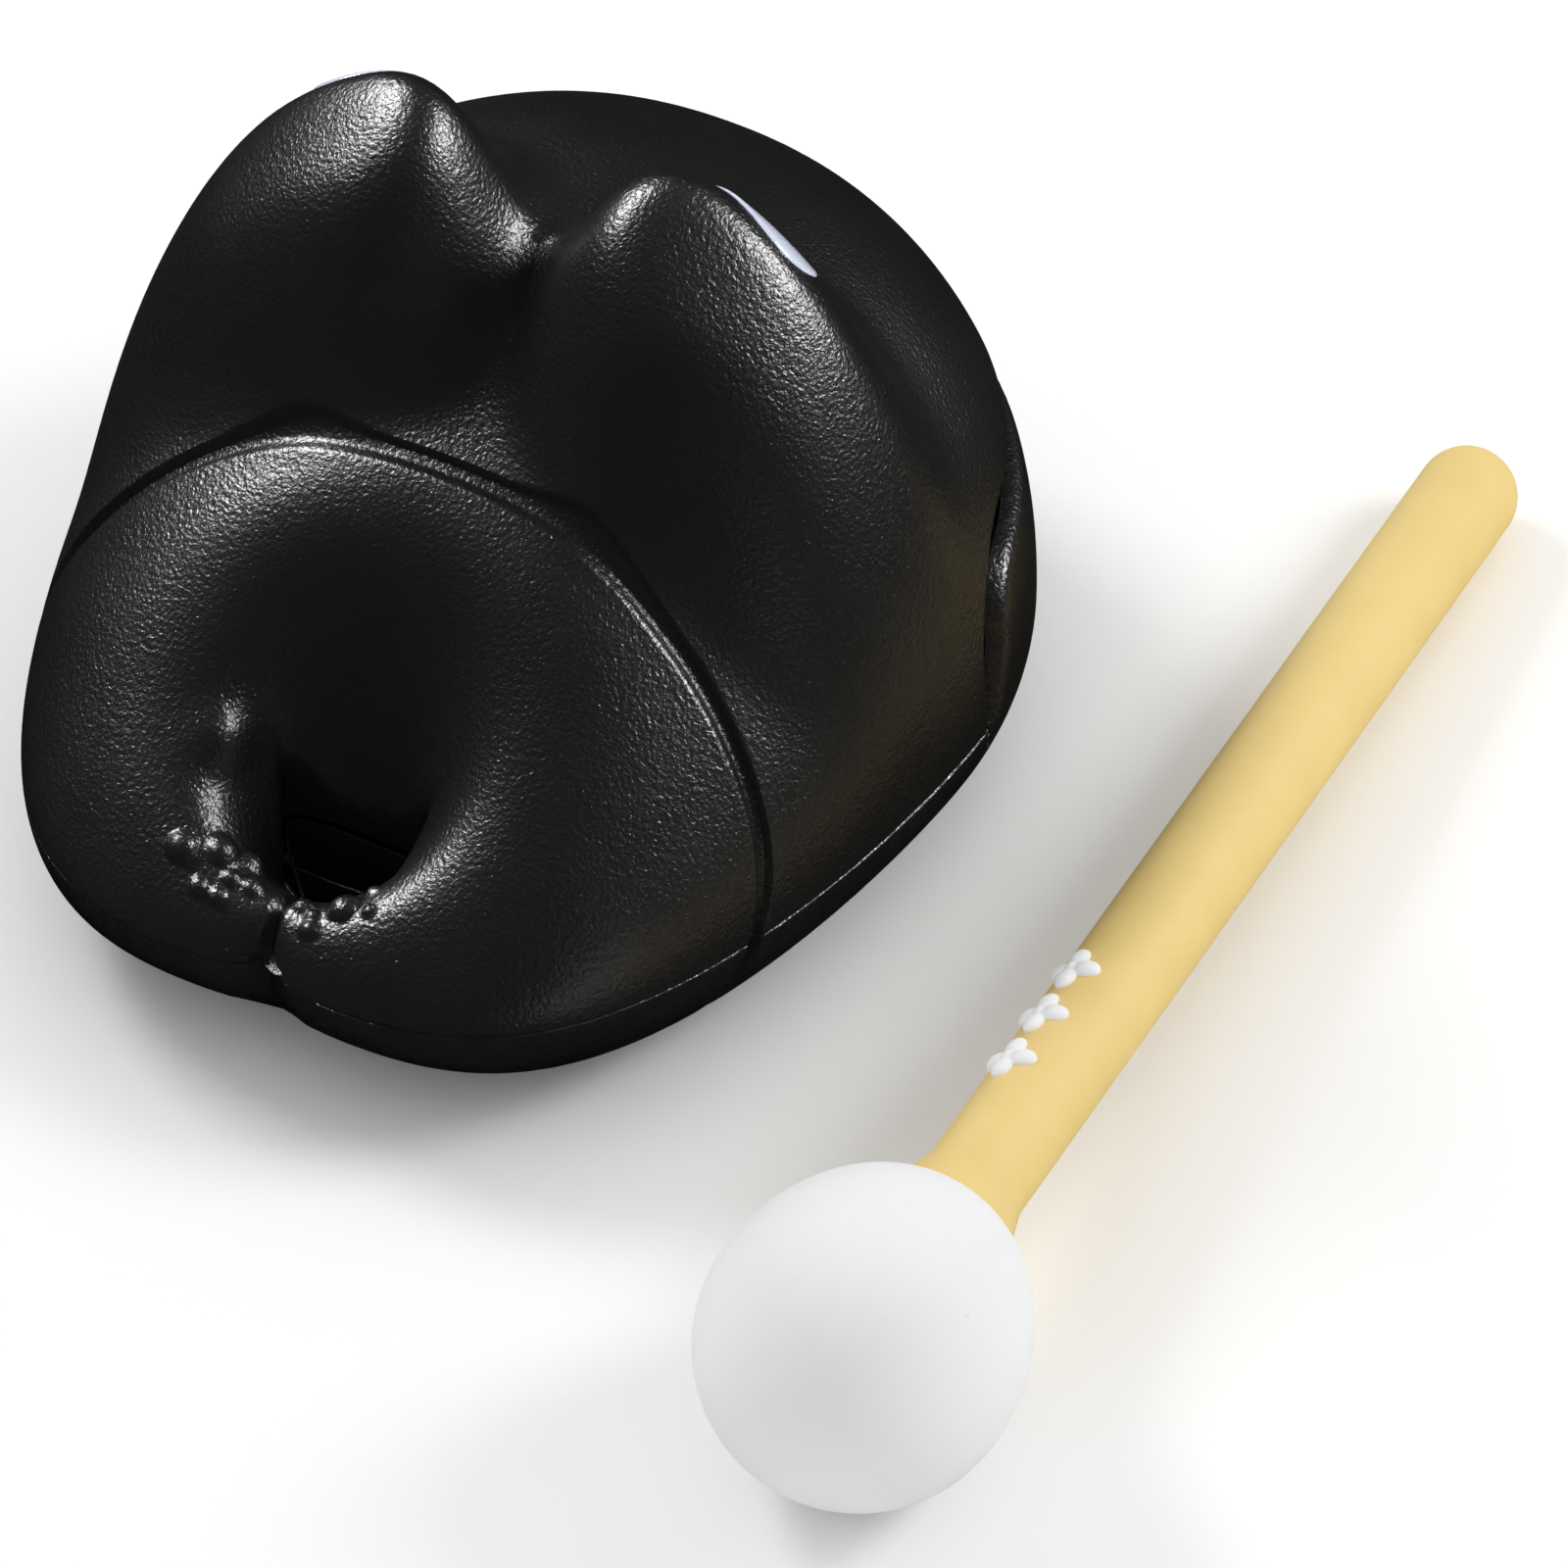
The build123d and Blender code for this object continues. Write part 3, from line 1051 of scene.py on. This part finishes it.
@dataclass
class Skin:
    """A skin of the fish's form: a grid of angles and stations, cut to an outline and given a wall."""

    name: str
    form: FishForm
    window: Window
    keep: Field
    fall: Field
    wall: float
    bands: list[Band] = field(default_factory=list)
    line: Field | None = None
    thin_near: Field | None = None
    thin_end: float = 0.1
    thin_reach: float = 9.0
    snap_reach: float = 2.0
    snap_rounds: int = 5
    nudge: float = 0.02
    least_wide: float = 0.02
    least_slope: float = 1e-6
    least_normal: float = 1e-12
    seam_reach: float = 0.004

    def place(self, plan: Array) -> Array:
        """Points of the plain form for rows of angle and station."""
        return self.form.point(plan[:, 0], plan[:, 1])

    def outward(self, plan: Array) -> Array:
        """Unit normals of the plain form.

        Args:
            plan: Rows of angle and station.

        Returns:
            One normal for each row.
        """
        angle = plan[:, 0]
        station = np.clip(plan[:, 1], self.least_wide, self.form.length - self.least_wide)
        low, high = self.window.angles
        wider = self.form.point(np.minimum(angle + self.nudge, high), station)
        narrower = self.form.point(np.maximum(angle - self.nudge, low), station)
        ahead = self.form.point(angle, station + self.nudge / 2)
        behind = self.form.point(angle, station - self.nudge / 2)
        normal = np.cross(wider - narrower, ahead - behind)
        return normal / np.maximum(np.linalg.norm(normal, axis=1, keepdims=True), self.least_normal)

    def grid(self) -> bpy.types.Object:
        """Adds the flat grid and refines it in its bands.

        Returns:
            The grid, with angles and stations in place of x and y.
        """
        deselect()
        bpy.ops.mesh.primitive_grid_add(
            x_subdivisions=self.window.columns, y_subdivisions=self.window.rows, size=1
        )
        piece = added(self.name)
        plan = self.window.spread(points_of(piece))
        if self.line is not None:
            plan[:, 1] = self.line(plan)
        set_points(piece, plan)
        for band in self.bands:
            near = band.distance(self.place(centres_of(piece))) < band.reach
            edit(piece, Picked.FACES, near, lambda: bpy.ops.mesh.subdivide(number_cuts=band.cuts))
        return piece

    def cut(self, piece: bpy.types.Object) -> None:
        """Deletes the faces outside the outline and draws the new rim on to it.

        Args:
            piece: The flat grid.
        """
        outside = self.keep(self.place(centres_of(piece))) < 0
        edit(piece, Picked.FACES, outside, lambda: bpy.ops.mesh.delete(type="FACE"))
        points = points_of(piece)
        rim = np.unique(edge_ends(piece)[open_edges(piece)])
        low, high = self.window.angles
        rim = rim[(points[rim, 0] > low + self.nudge) & (points[rim, 0] < high - self.nudge)]
        rim = rim[np.abs(self.keep(self.place(points[rim]))) < self.snap_reach]
        plan = points[rim, :2]
        for _ in range(self.snap_rounds):
            depth = self.keep(self.place(plan))
            turn = (self.keep(self.place(plan + (self.nudge, 0))) - depth) / self.nudge
            slide = (self.keep(self.place(plan + (0, self.nudge))) - depth) / self.nudge
            pace = depth / np.maximum(turn**2 + slide**2, self.least_slope)
            plan = plan - np.stack([turn * pace, slide * pace], -1)
        points[rim, :2] = plan
        set_points(piece, points)

    def shape(self, piece: bpy.types.Object) -> None:
        """Bends the cut grid on to the form, with its relief, and closes the grid's own seams.

        Args:
            piece: The cut grid.
        """
        plan = points_of(piece)[:, :2]
        plain = self.place(plan)
        shaped = plain - self.fall(plain)[:, None] * self.outward(plan)
        set_points(piece, shaped * MM)
        edit_all(piece, lambda: bpy.ops.mesh.remove_doubles(threshold=self.seam_reach * MM))

    def build(self) -> bpy.types.Object:
        """Makes the open skin.

        Returns:
            The skin, without its wall.
        """
        piece = self.grid()
        self.cut(piece)
        self.shape(piece)
        return piece

    def thicken(self, piece: bpy.types.Object, inner_share: float) -> None:
        """Gives the skin its wall, thinner at the tail's end and the hole, with fewer faces inside.

        Args:
            piece: The open skin.
            inner_share: Share of all faces that is left when the inner side is thinned.
        """
        piece.vertex_groups.new(name="inner")
        group = piece.vertex_groups.new(name="wall")
        points = points_of(piece) / MM
        room = self.form.station_of(points)
        if self.thin_near is not None:
            room = np.minimum(room, self.thin_near(points))
        share = np.clip(self.thin_end + room / self.thin_reach, self.thin_end, 1)
        group.add(np.flatnonzero(share == 1).tolist(), 1.0, "REPLACE")
        for index in np.flatnonzero(share < 1):
            group.add([int(index)], float(share[index]), "REPLACE")
        walls = {"thickness": self.wall * MM, "offset": -1.0, "vertex_group": "wall"}
        finish_with(piece, "SOLIDIFY", shell_vertex_group="inner", **walls)
        if inner_share < 1:
            finish_with(piece, "DECIMATE", ratio=inner_share, vertex_group="inner")
        piece.vertex_groups.clear()


def sink(piece: bpy.types.Object, near: Field, height: float, closed: bool) -> None:
    """Draws the rim of a cut-out up or down to a level.

    Args:
        piece: The open skin, in metres.
        near: Truth values of points in millimetres that belong to the rim.
        height: The level to draw the rim to, in millimetres.
        closed: Whether the end is closed by a face.
    """
    picked = near(points_of(piece) / MM)
    rim = open_edges(piece) & picked[edge_ends(piece)].all(axis=1)
    edit(piece, Picked.EDGES, rim, lambda: bpy.ops.mesh.extrude_region())
    points = points_of(piece)
    points[selected(piece.data.vertices), 2] = height * MM
    set_points(piece, points)
    if closed:
        drawn = selected(piece.data.edges)
        edit(piece, Picked.EDGES, drawn, lambda: bpy.ops.mesh.edge_face_add())


@dataclass
class Fish(Assembly):
    """The hollow fish: two moulded shells, two eyes, and the screws and pads in its base."""

    body: ClassVar[Body] = Body.FISH
    sharp_angle: ClassVar[float] = 40.0
    form: FishForm = field(default_factory=FishForm)
    opening: Opening = field(default_factory=Opening)
    wall: float = 2.4
    hole_reach: float = 13.0
    inner_share: float = 0.62
    eye_length: float = 14.0
    eye_width: float = 11.0
    eye_tilt: float = 25.0
    eye_turn: float = 10.0
    eye_across: float = 16.5
    eye_height: float = 58.1
    eye_proud: float = 0.22
    eye_edge: float = 0.45
    eye_thickness: float = 0.8
    eye_angles: tuple[float, float] = (46.0, 86.0)
    eye_stations: tuple[float, float] = (50.5, 67.0)
    screw_head: float = 2.8
    screw_head_height: float = 2.0
    screw_head_bevel: float = 0.5
    screw_head_sides: int = 48
    screw_seat: float = 5.0
    screw_shank: float = 1.5
    screw_shank_bevel: float = 0.6
    screw_shank_sides: int = 32
    screw_length: float = 14.0
    screw_gap: float = 0.4
    cross_width: float = 0.75
    cross_length: float = 3.2
    cross_depth: float = 1.1
    cross_turns: tuple[float, ...] = (0.0, 90.0)
    pad_count: int = 4
    pad_depth: float = 1.2
    pad_gap: float = 0.1
    rim_reach: float = 0.3

    def __post_init__(self) -> None:
        """Works out the fine relief from the form and its openings."""
        self.moulding = Moulding(self.form, self.opening)

    def around_hole(self, points: Array) -> Array:
        """Which points lie round the tail's hole."""
        middle = (self.opening.hole_front + self.opening.hole_rear) / 2
        return np.hypot(points[:, 0], points[:, 1] - middle) < self.hole_reach

    def upper_shell(self, finish: bpy.types.Material) -> None:
        """Makes the upper shell with its humps, groove, beads, upper lip and the hole's wall.

        Args:
            finish: Its material.
        """
        opening, moulding = self.opening, self.moulding
        bands = [
            Band(moulding.near_groove, reach=1.7, cuts=3),
            Band(lambda p: p[..., 2] - self.form.parting, reach=0.6, cuts=1),
            Band(lambda p: np.abs(opening.mouth(p)), reach=1.6, cuts=2),
            Band(lambda p: np.abs(opening.beside_hole(p)), reach=2.2, cuts=1),
            Band(moulding.near_ornament, reach=0.0, cuts=1),
        ]
        skin = self.shell_skin("upper_shell_skin", Window(), opening.upper, moulding.upper_fall, bands)
        piece = skin.build()
        sink(piece, self.around_hole, self.form.parting, False)
        skin.thicken(piece, self.inner_share)
        points = points_of(piece)
        points[:, 2] = np.maximum(points[:, 2], self.form.parting * MM)
        set_points(piece, points)
        self.close(piece, finish, "shell", "upper_shell")

    def shell_skin(self, name: str, window: Window, keep: Field, fall: Field, bands: list[Band]) -> Skin:
        """The skin of one shell, with rows along the groove and a thin wall by the tail's hole.

        Args:
            name: The piece's name.
            window: What its grid covers.
            keep: Depth inside its outline.
            fall: How far it falls back from the plain form.
            bands: Its zones of finer faces.

        Returns:
            The skin, not yet built.
        """
        line, thin_near = self.moulding.along_groove, self.opening.beside_hole
        return Skin(name, self.form, window, keep, fall, self.wall, bands, line=line, thin_near=thin_near)

    def pad_names(self) -> list[str]:
        """Names of the foot pads' nodes."""
        return [f"foot_pad_{number}" for number in range(1, self.pad_count + 1)]

    def base_rounds(self) -> list[tuple[float, float, float, float]]:
        """Works out the pad seats and the screws' counterbores in the base.

        Returns:
            The centre, radius and depth of each round.
        """
        rounds = []
        for name in self.pad_names():
            low, high = (np.array(end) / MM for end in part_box(name))
            x, y = ((low + high) / 2)[:2]
            rounds.append((x, y, (high - low)[0] / 2 + self.pad_gap, self.pad_depth))
        for x, y in self.screw_places():
            rounds.append((x, y, self.screw_head + self.screw_gap, self.screw_seat))
        return rounds

    def screw_places(self) -> list[tuple[float, float]]:
        """Works out the centres of the four screws from their node's box.

        Returns:
            The x and y of each.
        """
        low, high = (np.array(end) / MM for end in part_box("shell_screws"))
        low, high = low + self.screw_head, high - self.screw_head
        return [(x, y) for x in (low[0], high[0]) for y in (low[1], high[1])]

    def lower_shell(self, finish: bpy.types.Material) -> None:
        """Makes the lower shell with its base, lower lip, pad seats and counterbores.

        Args:
            finish: Its material.
        """
        rounds = self.base_rounds()

        def beside_rounds(points: Array) -> Array:
            """Distance outside the nearest round in the base."""
            gaps = [np.hypot(points[..., 0] - x, points[..., 1] - y) - radius for x, y, radius, _ in rounds]
            return np.where(points[..., 2] < self.pad_depth, np.min(gaps, axis=0), self.form.length)

        def keep(points: Array) -> Array:
            """Depth inside the lower shell, outside the rounds in its base."""
            return np.minimum(self.opening.lower(points), beside_rounds(points))

        bands = [
            Band(self.moulding.near_groove, reach=1.7, cuts=2),
            Band(lambda p: np.abs(self.opening.lower(p)), reach=1.3, cuts=1),
            Band(lambda p: np.abs(beside_rounds(p)), reach=1.0, cuts=1),
        ]
        window = Window(angles=(90.0, 450.0), columns=300, rows=150)
        skin = self.shell_skin("lower_shell_skin", window, keep, self.moulding.lower_fall, bands)
        piece = skin.build()
        sink(piece, self.around_hole, self.form.parting, False)
        for x, y, radius, depth in rounds:
            sink(piece, self.around_round(x, y, radius), depth, True)
        skin.thicken(piece, self.inner_share)
        points = points_of(piece)
        behind_mouth = points[:, 1] > self.opening.mouth_rear * MM
        points[behind_mouth, 2] = np.minimum(points[behind_mouth, 2], self.form.parting * MM)
        set_points(piece, points)
        self.close(piece, finish, "shell", "lower_shell")

    def around_round(self, x: float, y: float, radius: float) -> Field:
        """A test for points on the rim of one round in the base."""
        reach, top = radius + self.rim_reach, self.pad_depth / 2
        return lambda p: (np.hypot(p[:, 0] - x, p[:, 1] - y) < reach) & (p[:, 2] < top)

    def eye(self, side: int, name: str, finish: bpy.types.Material) -> None:
        """Makes one eye, an oval skin that stands a little proud of its hump.

        Args:
            side: Plus or minus one, for the +X or the -X side.
            name: The node that it replaces.
            finish: Its material.
        """
        tilt, turn = math.radians(self.eye_tilt), math.radians(self.eye_turn)
        ahead = math.cos(tilt)
        look = np.array([side * math.sin(turn) * ahead, -math.cos(turn) * ahead, math.sin(tilt)])
        level = np.array([math.cos(turn), side * math.sin(turn), 0.0])
        upright = np.cross(look, level)
        hump = self.form.length / 2 - self.form.hump_station
        middle = np.array([side * self.eye_across, hump, self.eye_height])

        def keep(points: Array) -> Array:
            """Depth inside the eye's oval, seen along its line of sight."""
            away = points - middle
            share = np.hypot(away @ level / (self.eye_length / 2), away @ upright / (self.eye_width / 2))
            return np.where(away @ look > 0, (1 - share) * self.eye_width / 2, -self.eye_width)

        def fall(points: Array) -> Array:
            """How far the eye stands back from the form: it is proud of it, with a rounded edge."""
            return quarter_round(keep(points), self.eye_edge) - self.eye_proud

        low, high = self.eye_angles
        angles = (low, high) if side > 0 else (180 - high, 180 - low)
        window = Window(angles=angles, stations=self.eye_stations, columns=70, rows=60, whole=False)
        rim = [Band(lambda p: np.abs(keep(p)), reach=0.8, cuts=1)]
        skin = Skin(f"{name}_skin", self.form, window, keep, fall, self.eye_thickness, rim)
        piece = skin.build()
        skin.thicken(piece, 1.0)
        self.close(piece, finish, "eye", name)

    def rod(self, name: str, sides: int, radius: float, low: float, high: float) -> bpy.types.Object:
        """Adds an upright cylinder of the screw.

        Args:
            name: Its name.
            sides: Faces round it.
            radius: Its radius.
            low: Height of its lower end.
            high: Height of its upper end.

        Returns:
            The cylinder.
        """
        deselect()
        place = (0, 0, (low + high) / 2 * MM)
        length = (high - low) * MM
        bpy.ops.mesh.primitive_cylinder_add(vertices=sides, radius=radius * MM, depth=length, location=place)
        return added(name)

    def screw(self) -> bpy.types.Object:
        """Makes one self-tapping screw on the z axis, with a rounded head and a cross recess.

        Returns:
            The screw.
        """
        floor, seat = self.screw_seat - self.screw_head_height, self.screw_seat
        head = self.rod("screw_head", self.screw_head_sides, self.screw_head, floor, seat)
        finish_with(head, "BEVEL", width=self.screw_head_bevel * MM, segments=3, limit_method="ANGLE")
        for turn in self.cross_turns:
            deselect()
            rotation = (0, 0, math.radians(turn))
            bpy.ops.mesh.primitive_cube_add(size=1, location=(0, 0, floor * MM), rotation=rotation)
            slot = added("screw_slot")
            slot.scale = (self.cross_length * MM, self.cross_width * MM, 2 * self.cross_depth * MM)
            settle(slot)
            finish_with(head, "BOOLEAN", object=slot, operation="DIFFERENCE", solver="EXACT")
            bpy.data.objects.remove(slot)
        end = seat + self.screw_length
        shank = self.rod("screw_shank", self.screw_shank_sides, self.screw_shank, seat, end)
        finish_with(shank, "BEVEL", width=self.screw_shank_bevel * MM, segments=2, limit_method="ANGLE")
        model = join([head, shank], "screw_model")
        settle(model)
        return model

    def screws(self, finish: bpy.types.Material) -> None:
        """Copies the screw to its four places.

        Args:
            finish: The screws' material.
        """
        model = self.screw()
        copies = []
        for x, y in self.screw_places():
            copy = bpy.data.objects.new("screw", model.data.copy())
            bpy.context.collection.objects.link(copy)
            copy.data.transform(Matrix.Translation((x * MM, y * MM, 0)))
            copies.append(copy)
        bpy.data.objects.remove(model)
        self.close(join(copies, "shell_screws_turned"), finish, "steel", "shell_screws")


@dataclass
class Mallet(Assembly):
    """The loose mallet: an egg head on a round handle, with three raised flowers."""

    body: ClassVar[Body] = Body.MALLET
    sharp_angle: ClassVar[float] = 60.0
    pivot: tuple[float, float, float]
    head_place: tuple[float, float, float] = (-68.0, 63.8, 14.4)
    head_radius: float = 14.4
    head_back: float = 14.6
    head_front: float = 18.0
    seam_depth: float = 0.06
    seam_width: float = 0.16
    handle_radius: float = 4.7
    collar_radius: float = 6.4
    collar_length: float = 6.5
    collar_power: float = 1.1
    collar_sunk: float = 2.2
    collar_seat: float = 16.6
    flower_first: float = 18.8
    flower_pitch: float = 6.6
    flower_turn: float = 33.0
    flower_count: int = 3
    petal_count: int = 4
    petal_long: float = 1.32
    petal_wide: float = 1.0
    petal_spread: float = 1.45
    petal_rise: float = 0.75
    heart_radius: float = 0.75
    flower_grain: float = 0.11
    flower_smoothing: float = 0.5
    flower_rounds: int = 4
    petal_segments: int = 32
    petal_rings: int = 16
    turned_segments: int = 96
    turned_rings: int = 160
    pole_reach: float = 1e-6

    def __post_init__(self) -> None:
        """Works out the mallet's axis from its head and the swing's pivot at the other end."""
        run = np.array(self.pivot) / MM - np.array(self.head_place)
        self.length = float(np.linalg.norm(run))
        self.axis = run / self.length
        self.side = np.cross(self.axis, (0.0, 0.0, 1.0))
        self.side = self.side / np.linalg.norm(self.side)
        self.up = np.cross(self.side, self.axis)

    def seated(self, along: Array, sideways: Array, upwards: Array) -> Array:
        """Points in metres for places along the mallet's axis, beside it and above it."""
        steps = along[:, None] * self.axis + sideways[:, None] * self.side + upwards[:, None] * self.up
        return (np.array(self.head_place) + steps) * MM

    def turned(self, name: str, radius_at: Field, start: float, end: float) -> bpy.types.Object:
        """Turns a body about the mallet's axis from a round primitive.

        Args:
            name: The piece's name.
            radius_at: Radius for places along the axis.
            start: Where it starts on the axis.
            end: Where it ends on the axis.

        Returns:
            The turned piece.
        """
        piece = ball(name, self.turned_segments, self.turned_rings)
        points = points_of(piece)
        along = start + (end - start) * (points[:, 2] + 1) / 2
        turn = np.arctan2(points[:, 1], points[:, 0])
        on_pole = np.hypot(points[:, 0], points[:, 1]) < self.pole_reach
        radius = np.where(on_pole, 0.0, radius_at(along)) - self.seam(turn, along)
        set_points(piece, self.seated(along, radius * np.cos(turn), radius * np.sin(turn)))
        face_outwards(piece)
        return piece

    def seam(self, turn: Array, along: Array) -> Array:
        """Depth of the egg's faint mould seam.

        Args:
            turn: Angles round the axis, in radians.
            along: Places along the axis.

        Returns:
            The depth at each, nought on the handle.
        """
        off_seam = self.head_radius * np.abs(np.sin(turn + math.radians(self.flower_turn)))
        on_egg = along < self.head_front - self.collar_sunk
        return np.where(on_egg, self.seam_depth * np.exp(-((off_seam / self.seam_width) ** 2)), 0.0)

    def egg_radius(self, along: Array) -> Array:
        """Radius of the egg: a short half-ellipse behind its bulge and a long one in front."""
        reach = np.where(along > 0, self.head_front, self.head_back)
        return self.head_radius * np.sqrt(np.clip(1 - (along / reach) ** 2, 0, 1))

    def handle_profile(self, along: Array) -> Array:
        """Radius of the handle: a flared collar, a straight grip and a round end.

        Args:
            along: Places along the axis.

        Returns:
            The radius at each.
        """
        near = np.clip(1 - (along - self.collar_seat) / self.collar_length, 0, 1)
        flare = (self.collar_radius - self.handle_radius) * near**self.collar_power
        past = np.clip((along - self.length) / self.handle_radius, 0, 1)
        return (self.handle_radius + flare) * np.sqrt(1 - past**2)

    def head(self, finish: bpy.types.Material) -> None:
        """Makes the egg head."""
        piece = self.turned("mallet_head_egg", self.egg_radius, -self.head_back, self.head_front)
        self.close(piece, finish, "egg", "mallet_head")

    def handle(self, finish: bpy.types.Material) -> None:
        """Makes the handle, whose collar sits on the egg.

        Args:
            finish: Its material.
        """
        start, end = self.collar_seat - self.collar_sunk, self.length + self.handle_radius
        piece = self.turned("mallet_handle_grip", self.handle_profile, start, end)
        self.close(piece, finish, "handle", "mallet_handle")

    def lobe(self, place: float, reach: float, turn: float, long: float, wide: float) -> bpy.types.Object:
        """Makes one lobe of a flower, bent round the handle.

        Args:
            place: The flower's middle along the axis.
            reach: How far the lobe's middle is from the flower's.
            turn: Its direction from there, in radians.
            long: Half its length, outwards.
            wide: Half its width.

        Returns:
            The lobe.
        """
        piece = ball("petal", self.petal_segments, self.petal_rings)
        points = points_of(piece)
        outwards, aside = reach + points[:, 0] * long, points[:, 1] * wide
        along = place + outwards * math.cos(turn) - aside * math.sin(turn)
        across = outwards * math.sin(turn) + aside * math.cos(turn)
        bend = math.radians(self.flower_turn) + across / self.handle_radius
        height = self.handle_radius + self.petal_rise * points[:, 2]
        set_points(piece, self.seated(along, -height * np.sin(bend), height * np.cos(bend)))
        return piece

    def flower(self, number: int, finish: bpy.types.Material) -> None:
        """Makes one raised flower that follows the round of the handle.

        Args:
            number: Its place in the row, from one.
            finish: Its material.
        """
        place = self.collar_seat + self.flower_first + (number - 1) * self.flower_pitch
        lobes = [self.lobe(place, 0.0, 0.0, self.heart_radius, self.heart_radius)]
        for petal in range(self.petal_count):
            turn = 2 * math.pi * petal / self.petal_count
            lobes.append(self.lobe(place, self.petal_spread, turn, self.petal_long, self.petal_wide))
        piece = join(lobes, f"handle_flower_{number}")
        face_outwards(piece)
        finish_with(piece, "REMESH", mode="VOXEL", voxel_size=self.flower_grain * MM)
        finish_with(piece, "SMOOTH", factor=self.flower_smoothing, iterations=self.flower_rounds)
        self.close(piece, finish, "egg", f"handle_ornament_{number}")


@dataclass
class Studio:
    """The white floor, two softboxes, a pale room and the camera at the photograph's angle."""

    yaw: float = 28.3
    elevation: float = 44.7
    target: tuple[float, float, float] = (-27.3, 1.9, 9.2)
    frame_width: float = 140.2
    distance: float = 1429.0
    sensor: float = 36.0
    clip_end: float = 20000.0
    floor_size: float = 6000.0
    floor_level: float = 0.95
    floor_roughness: float = 0.9
    room_level: float = 0.74
    box_distance: float = 620.0
    box_size: float = 210.0
    box_power: float = 6.5
    glow_share: float = 0.19
    left_from: tuple[float, float, float] = (-0.57, 0.78, 0.13)
    right_from: tuple[float, float, float] = (0.75, 0.45, 0.35)

    def __post_init__(self) -> None:
        """Works out the point that is looked at, and the camera's right, up and backward directions."""
        yaw, rise = math.radians(self.yaw), math.radians(self.elevation)
        self.middle = Vector(self.target) * MM
        self.back = Vector((-math.sin(yaw) * math.cos(rise), math.cos(yaw) * math.cos(rise), math.sin(rise)))
        self.right = Vector((-math.cos(yaw), -math.sin(yaw), 0))
        self.up = self.back.cross(self.right)

    def stand(self, data: bpy.types.ID, offset: Vector) -> bpy.types.Object:
        """Adds a light or the camera, turned towards the middle.

        Args:
            data: The light or the camera.
            offset: Where it stands from the middle, in metres.

        Returns:
            Its object.
        """
        item = bpy.data.objects.new(data.name, data)
        bpy.context.collection.objects.link(item)
        item.location = self.middle + offset
        item.rotation_euler = (-offset).to_track_quat("-Z", "Y").to_euler()
        return item

    def camera(self) -> None:
        """Adds the camera with a long lens."""
        lens = bpy.data.cameras.new("camera")
        lens.sensor_width = self.sensor
        lens.lens = self.sensor * self.distance / self.frame_width
        lens.clip_end = self.clip_end * MM
        bpy.context.scene.camera = self.stand(lens, self.back * self.distance * MM)

    def softbox(self, name: str, direction: tuple[float, float, float]) -> None:
        """Adds one square light as two: one for its gloss alone, and a weaker one for its glow.

        Args:
            name: The light's name.
            direction: Where it stands as the camera sees it: right, up and towards the camera.
        """
        axis = (self.right * direction[0] + self.up * direction[1] + self.back * direction[2]).normalized()
        for part, share in (("gloss", 1.0), ("glow", self.glow_share)):
            light = bpy.data.lights.new(f"{name}_{part}", "AREA")
            light.shape = "SQUARE"
            light.size = self.box_size * MM
            light.energy = self.box_power * share
            item = self.stand(light, axis * self.box_distance * MM)
            item.visible_diffuse = part == "glow"
            item.visible_glossy = part == "gloss"

    def floor(self) -> None:
        """Adds the plain white floor, which the gloss doesn't show."""
        deselect()
        bpy.ops.mesh.primitive_plane_add(size=self.floor_size * MM)
        piece = added("floor")
        shader = Shader("floor_white")
        shader.set(Base_Color=grey(self.floor_level), Roughness=self.floor_roughness)
        dress(piece, shader.material)
        piece.visible_glossy = False

    def room(self) -> None:
        """Fills the room with even pale light, which the gloss doesn't show."""
        world = bpy.data.worlds.new("room")
        world.use_nodes = True
        world.node_tree.nodes["Background"].inputs["Color"].default_value = grey(self.room_level)
        bpy.context.scene.world = world
        world.cycles_visibility.glossy = False
        bpy.context.scene.view_settings.view_transform = "Standard"

    def build(self) -> None:
        """Sets up the whole studio."""
        self.floor()
        self.room()
        self.softbox("left_softbox", self.left_from)
        self.softbox("right_softbox", self.right_from)
        self.camera()


def main() -> None:
    """Builds the fish, the mallet and the studio round the frame."""
    logging.basicConfig(level=logging.INFO, format="%(message)s")
    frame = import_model()
    black, white = GrainedBlack().material(), MatteWhite().material()
    steel, rubber = PlainSteel().material(), SoftBlack().material()
    gloss = GlossWhite().material()
    fish = Fish()
    fish.upper_shell(black)
    fish.lower_shell(black)
    fish.eye(1, "eye_inlay_left", gloss)
    fish.eye(-1, "eye_inlay_right", gloss)
    fish.screws(steel)
    for name in fish.pad_names():
        dress(frame["nodes"][name], rubber)
    swing = next(joint for joint in frame["joints"] if joint["name"] == "mallet_swing")
    mallet = Mallet(pivot=tuple(swing["pos_m"]))
    mallet.head(white)
    mallet.handle(SatinYellow().material())
    flower_white = FlowerWhite().material()
    for number in range(1, mallet.flower_count + 1):
        mallet.flower(number, flower_white)
    dress(frame["nodes"]["mallet_core"], steel)
    Studio().build()


if __name__ == "__main__":
    main()
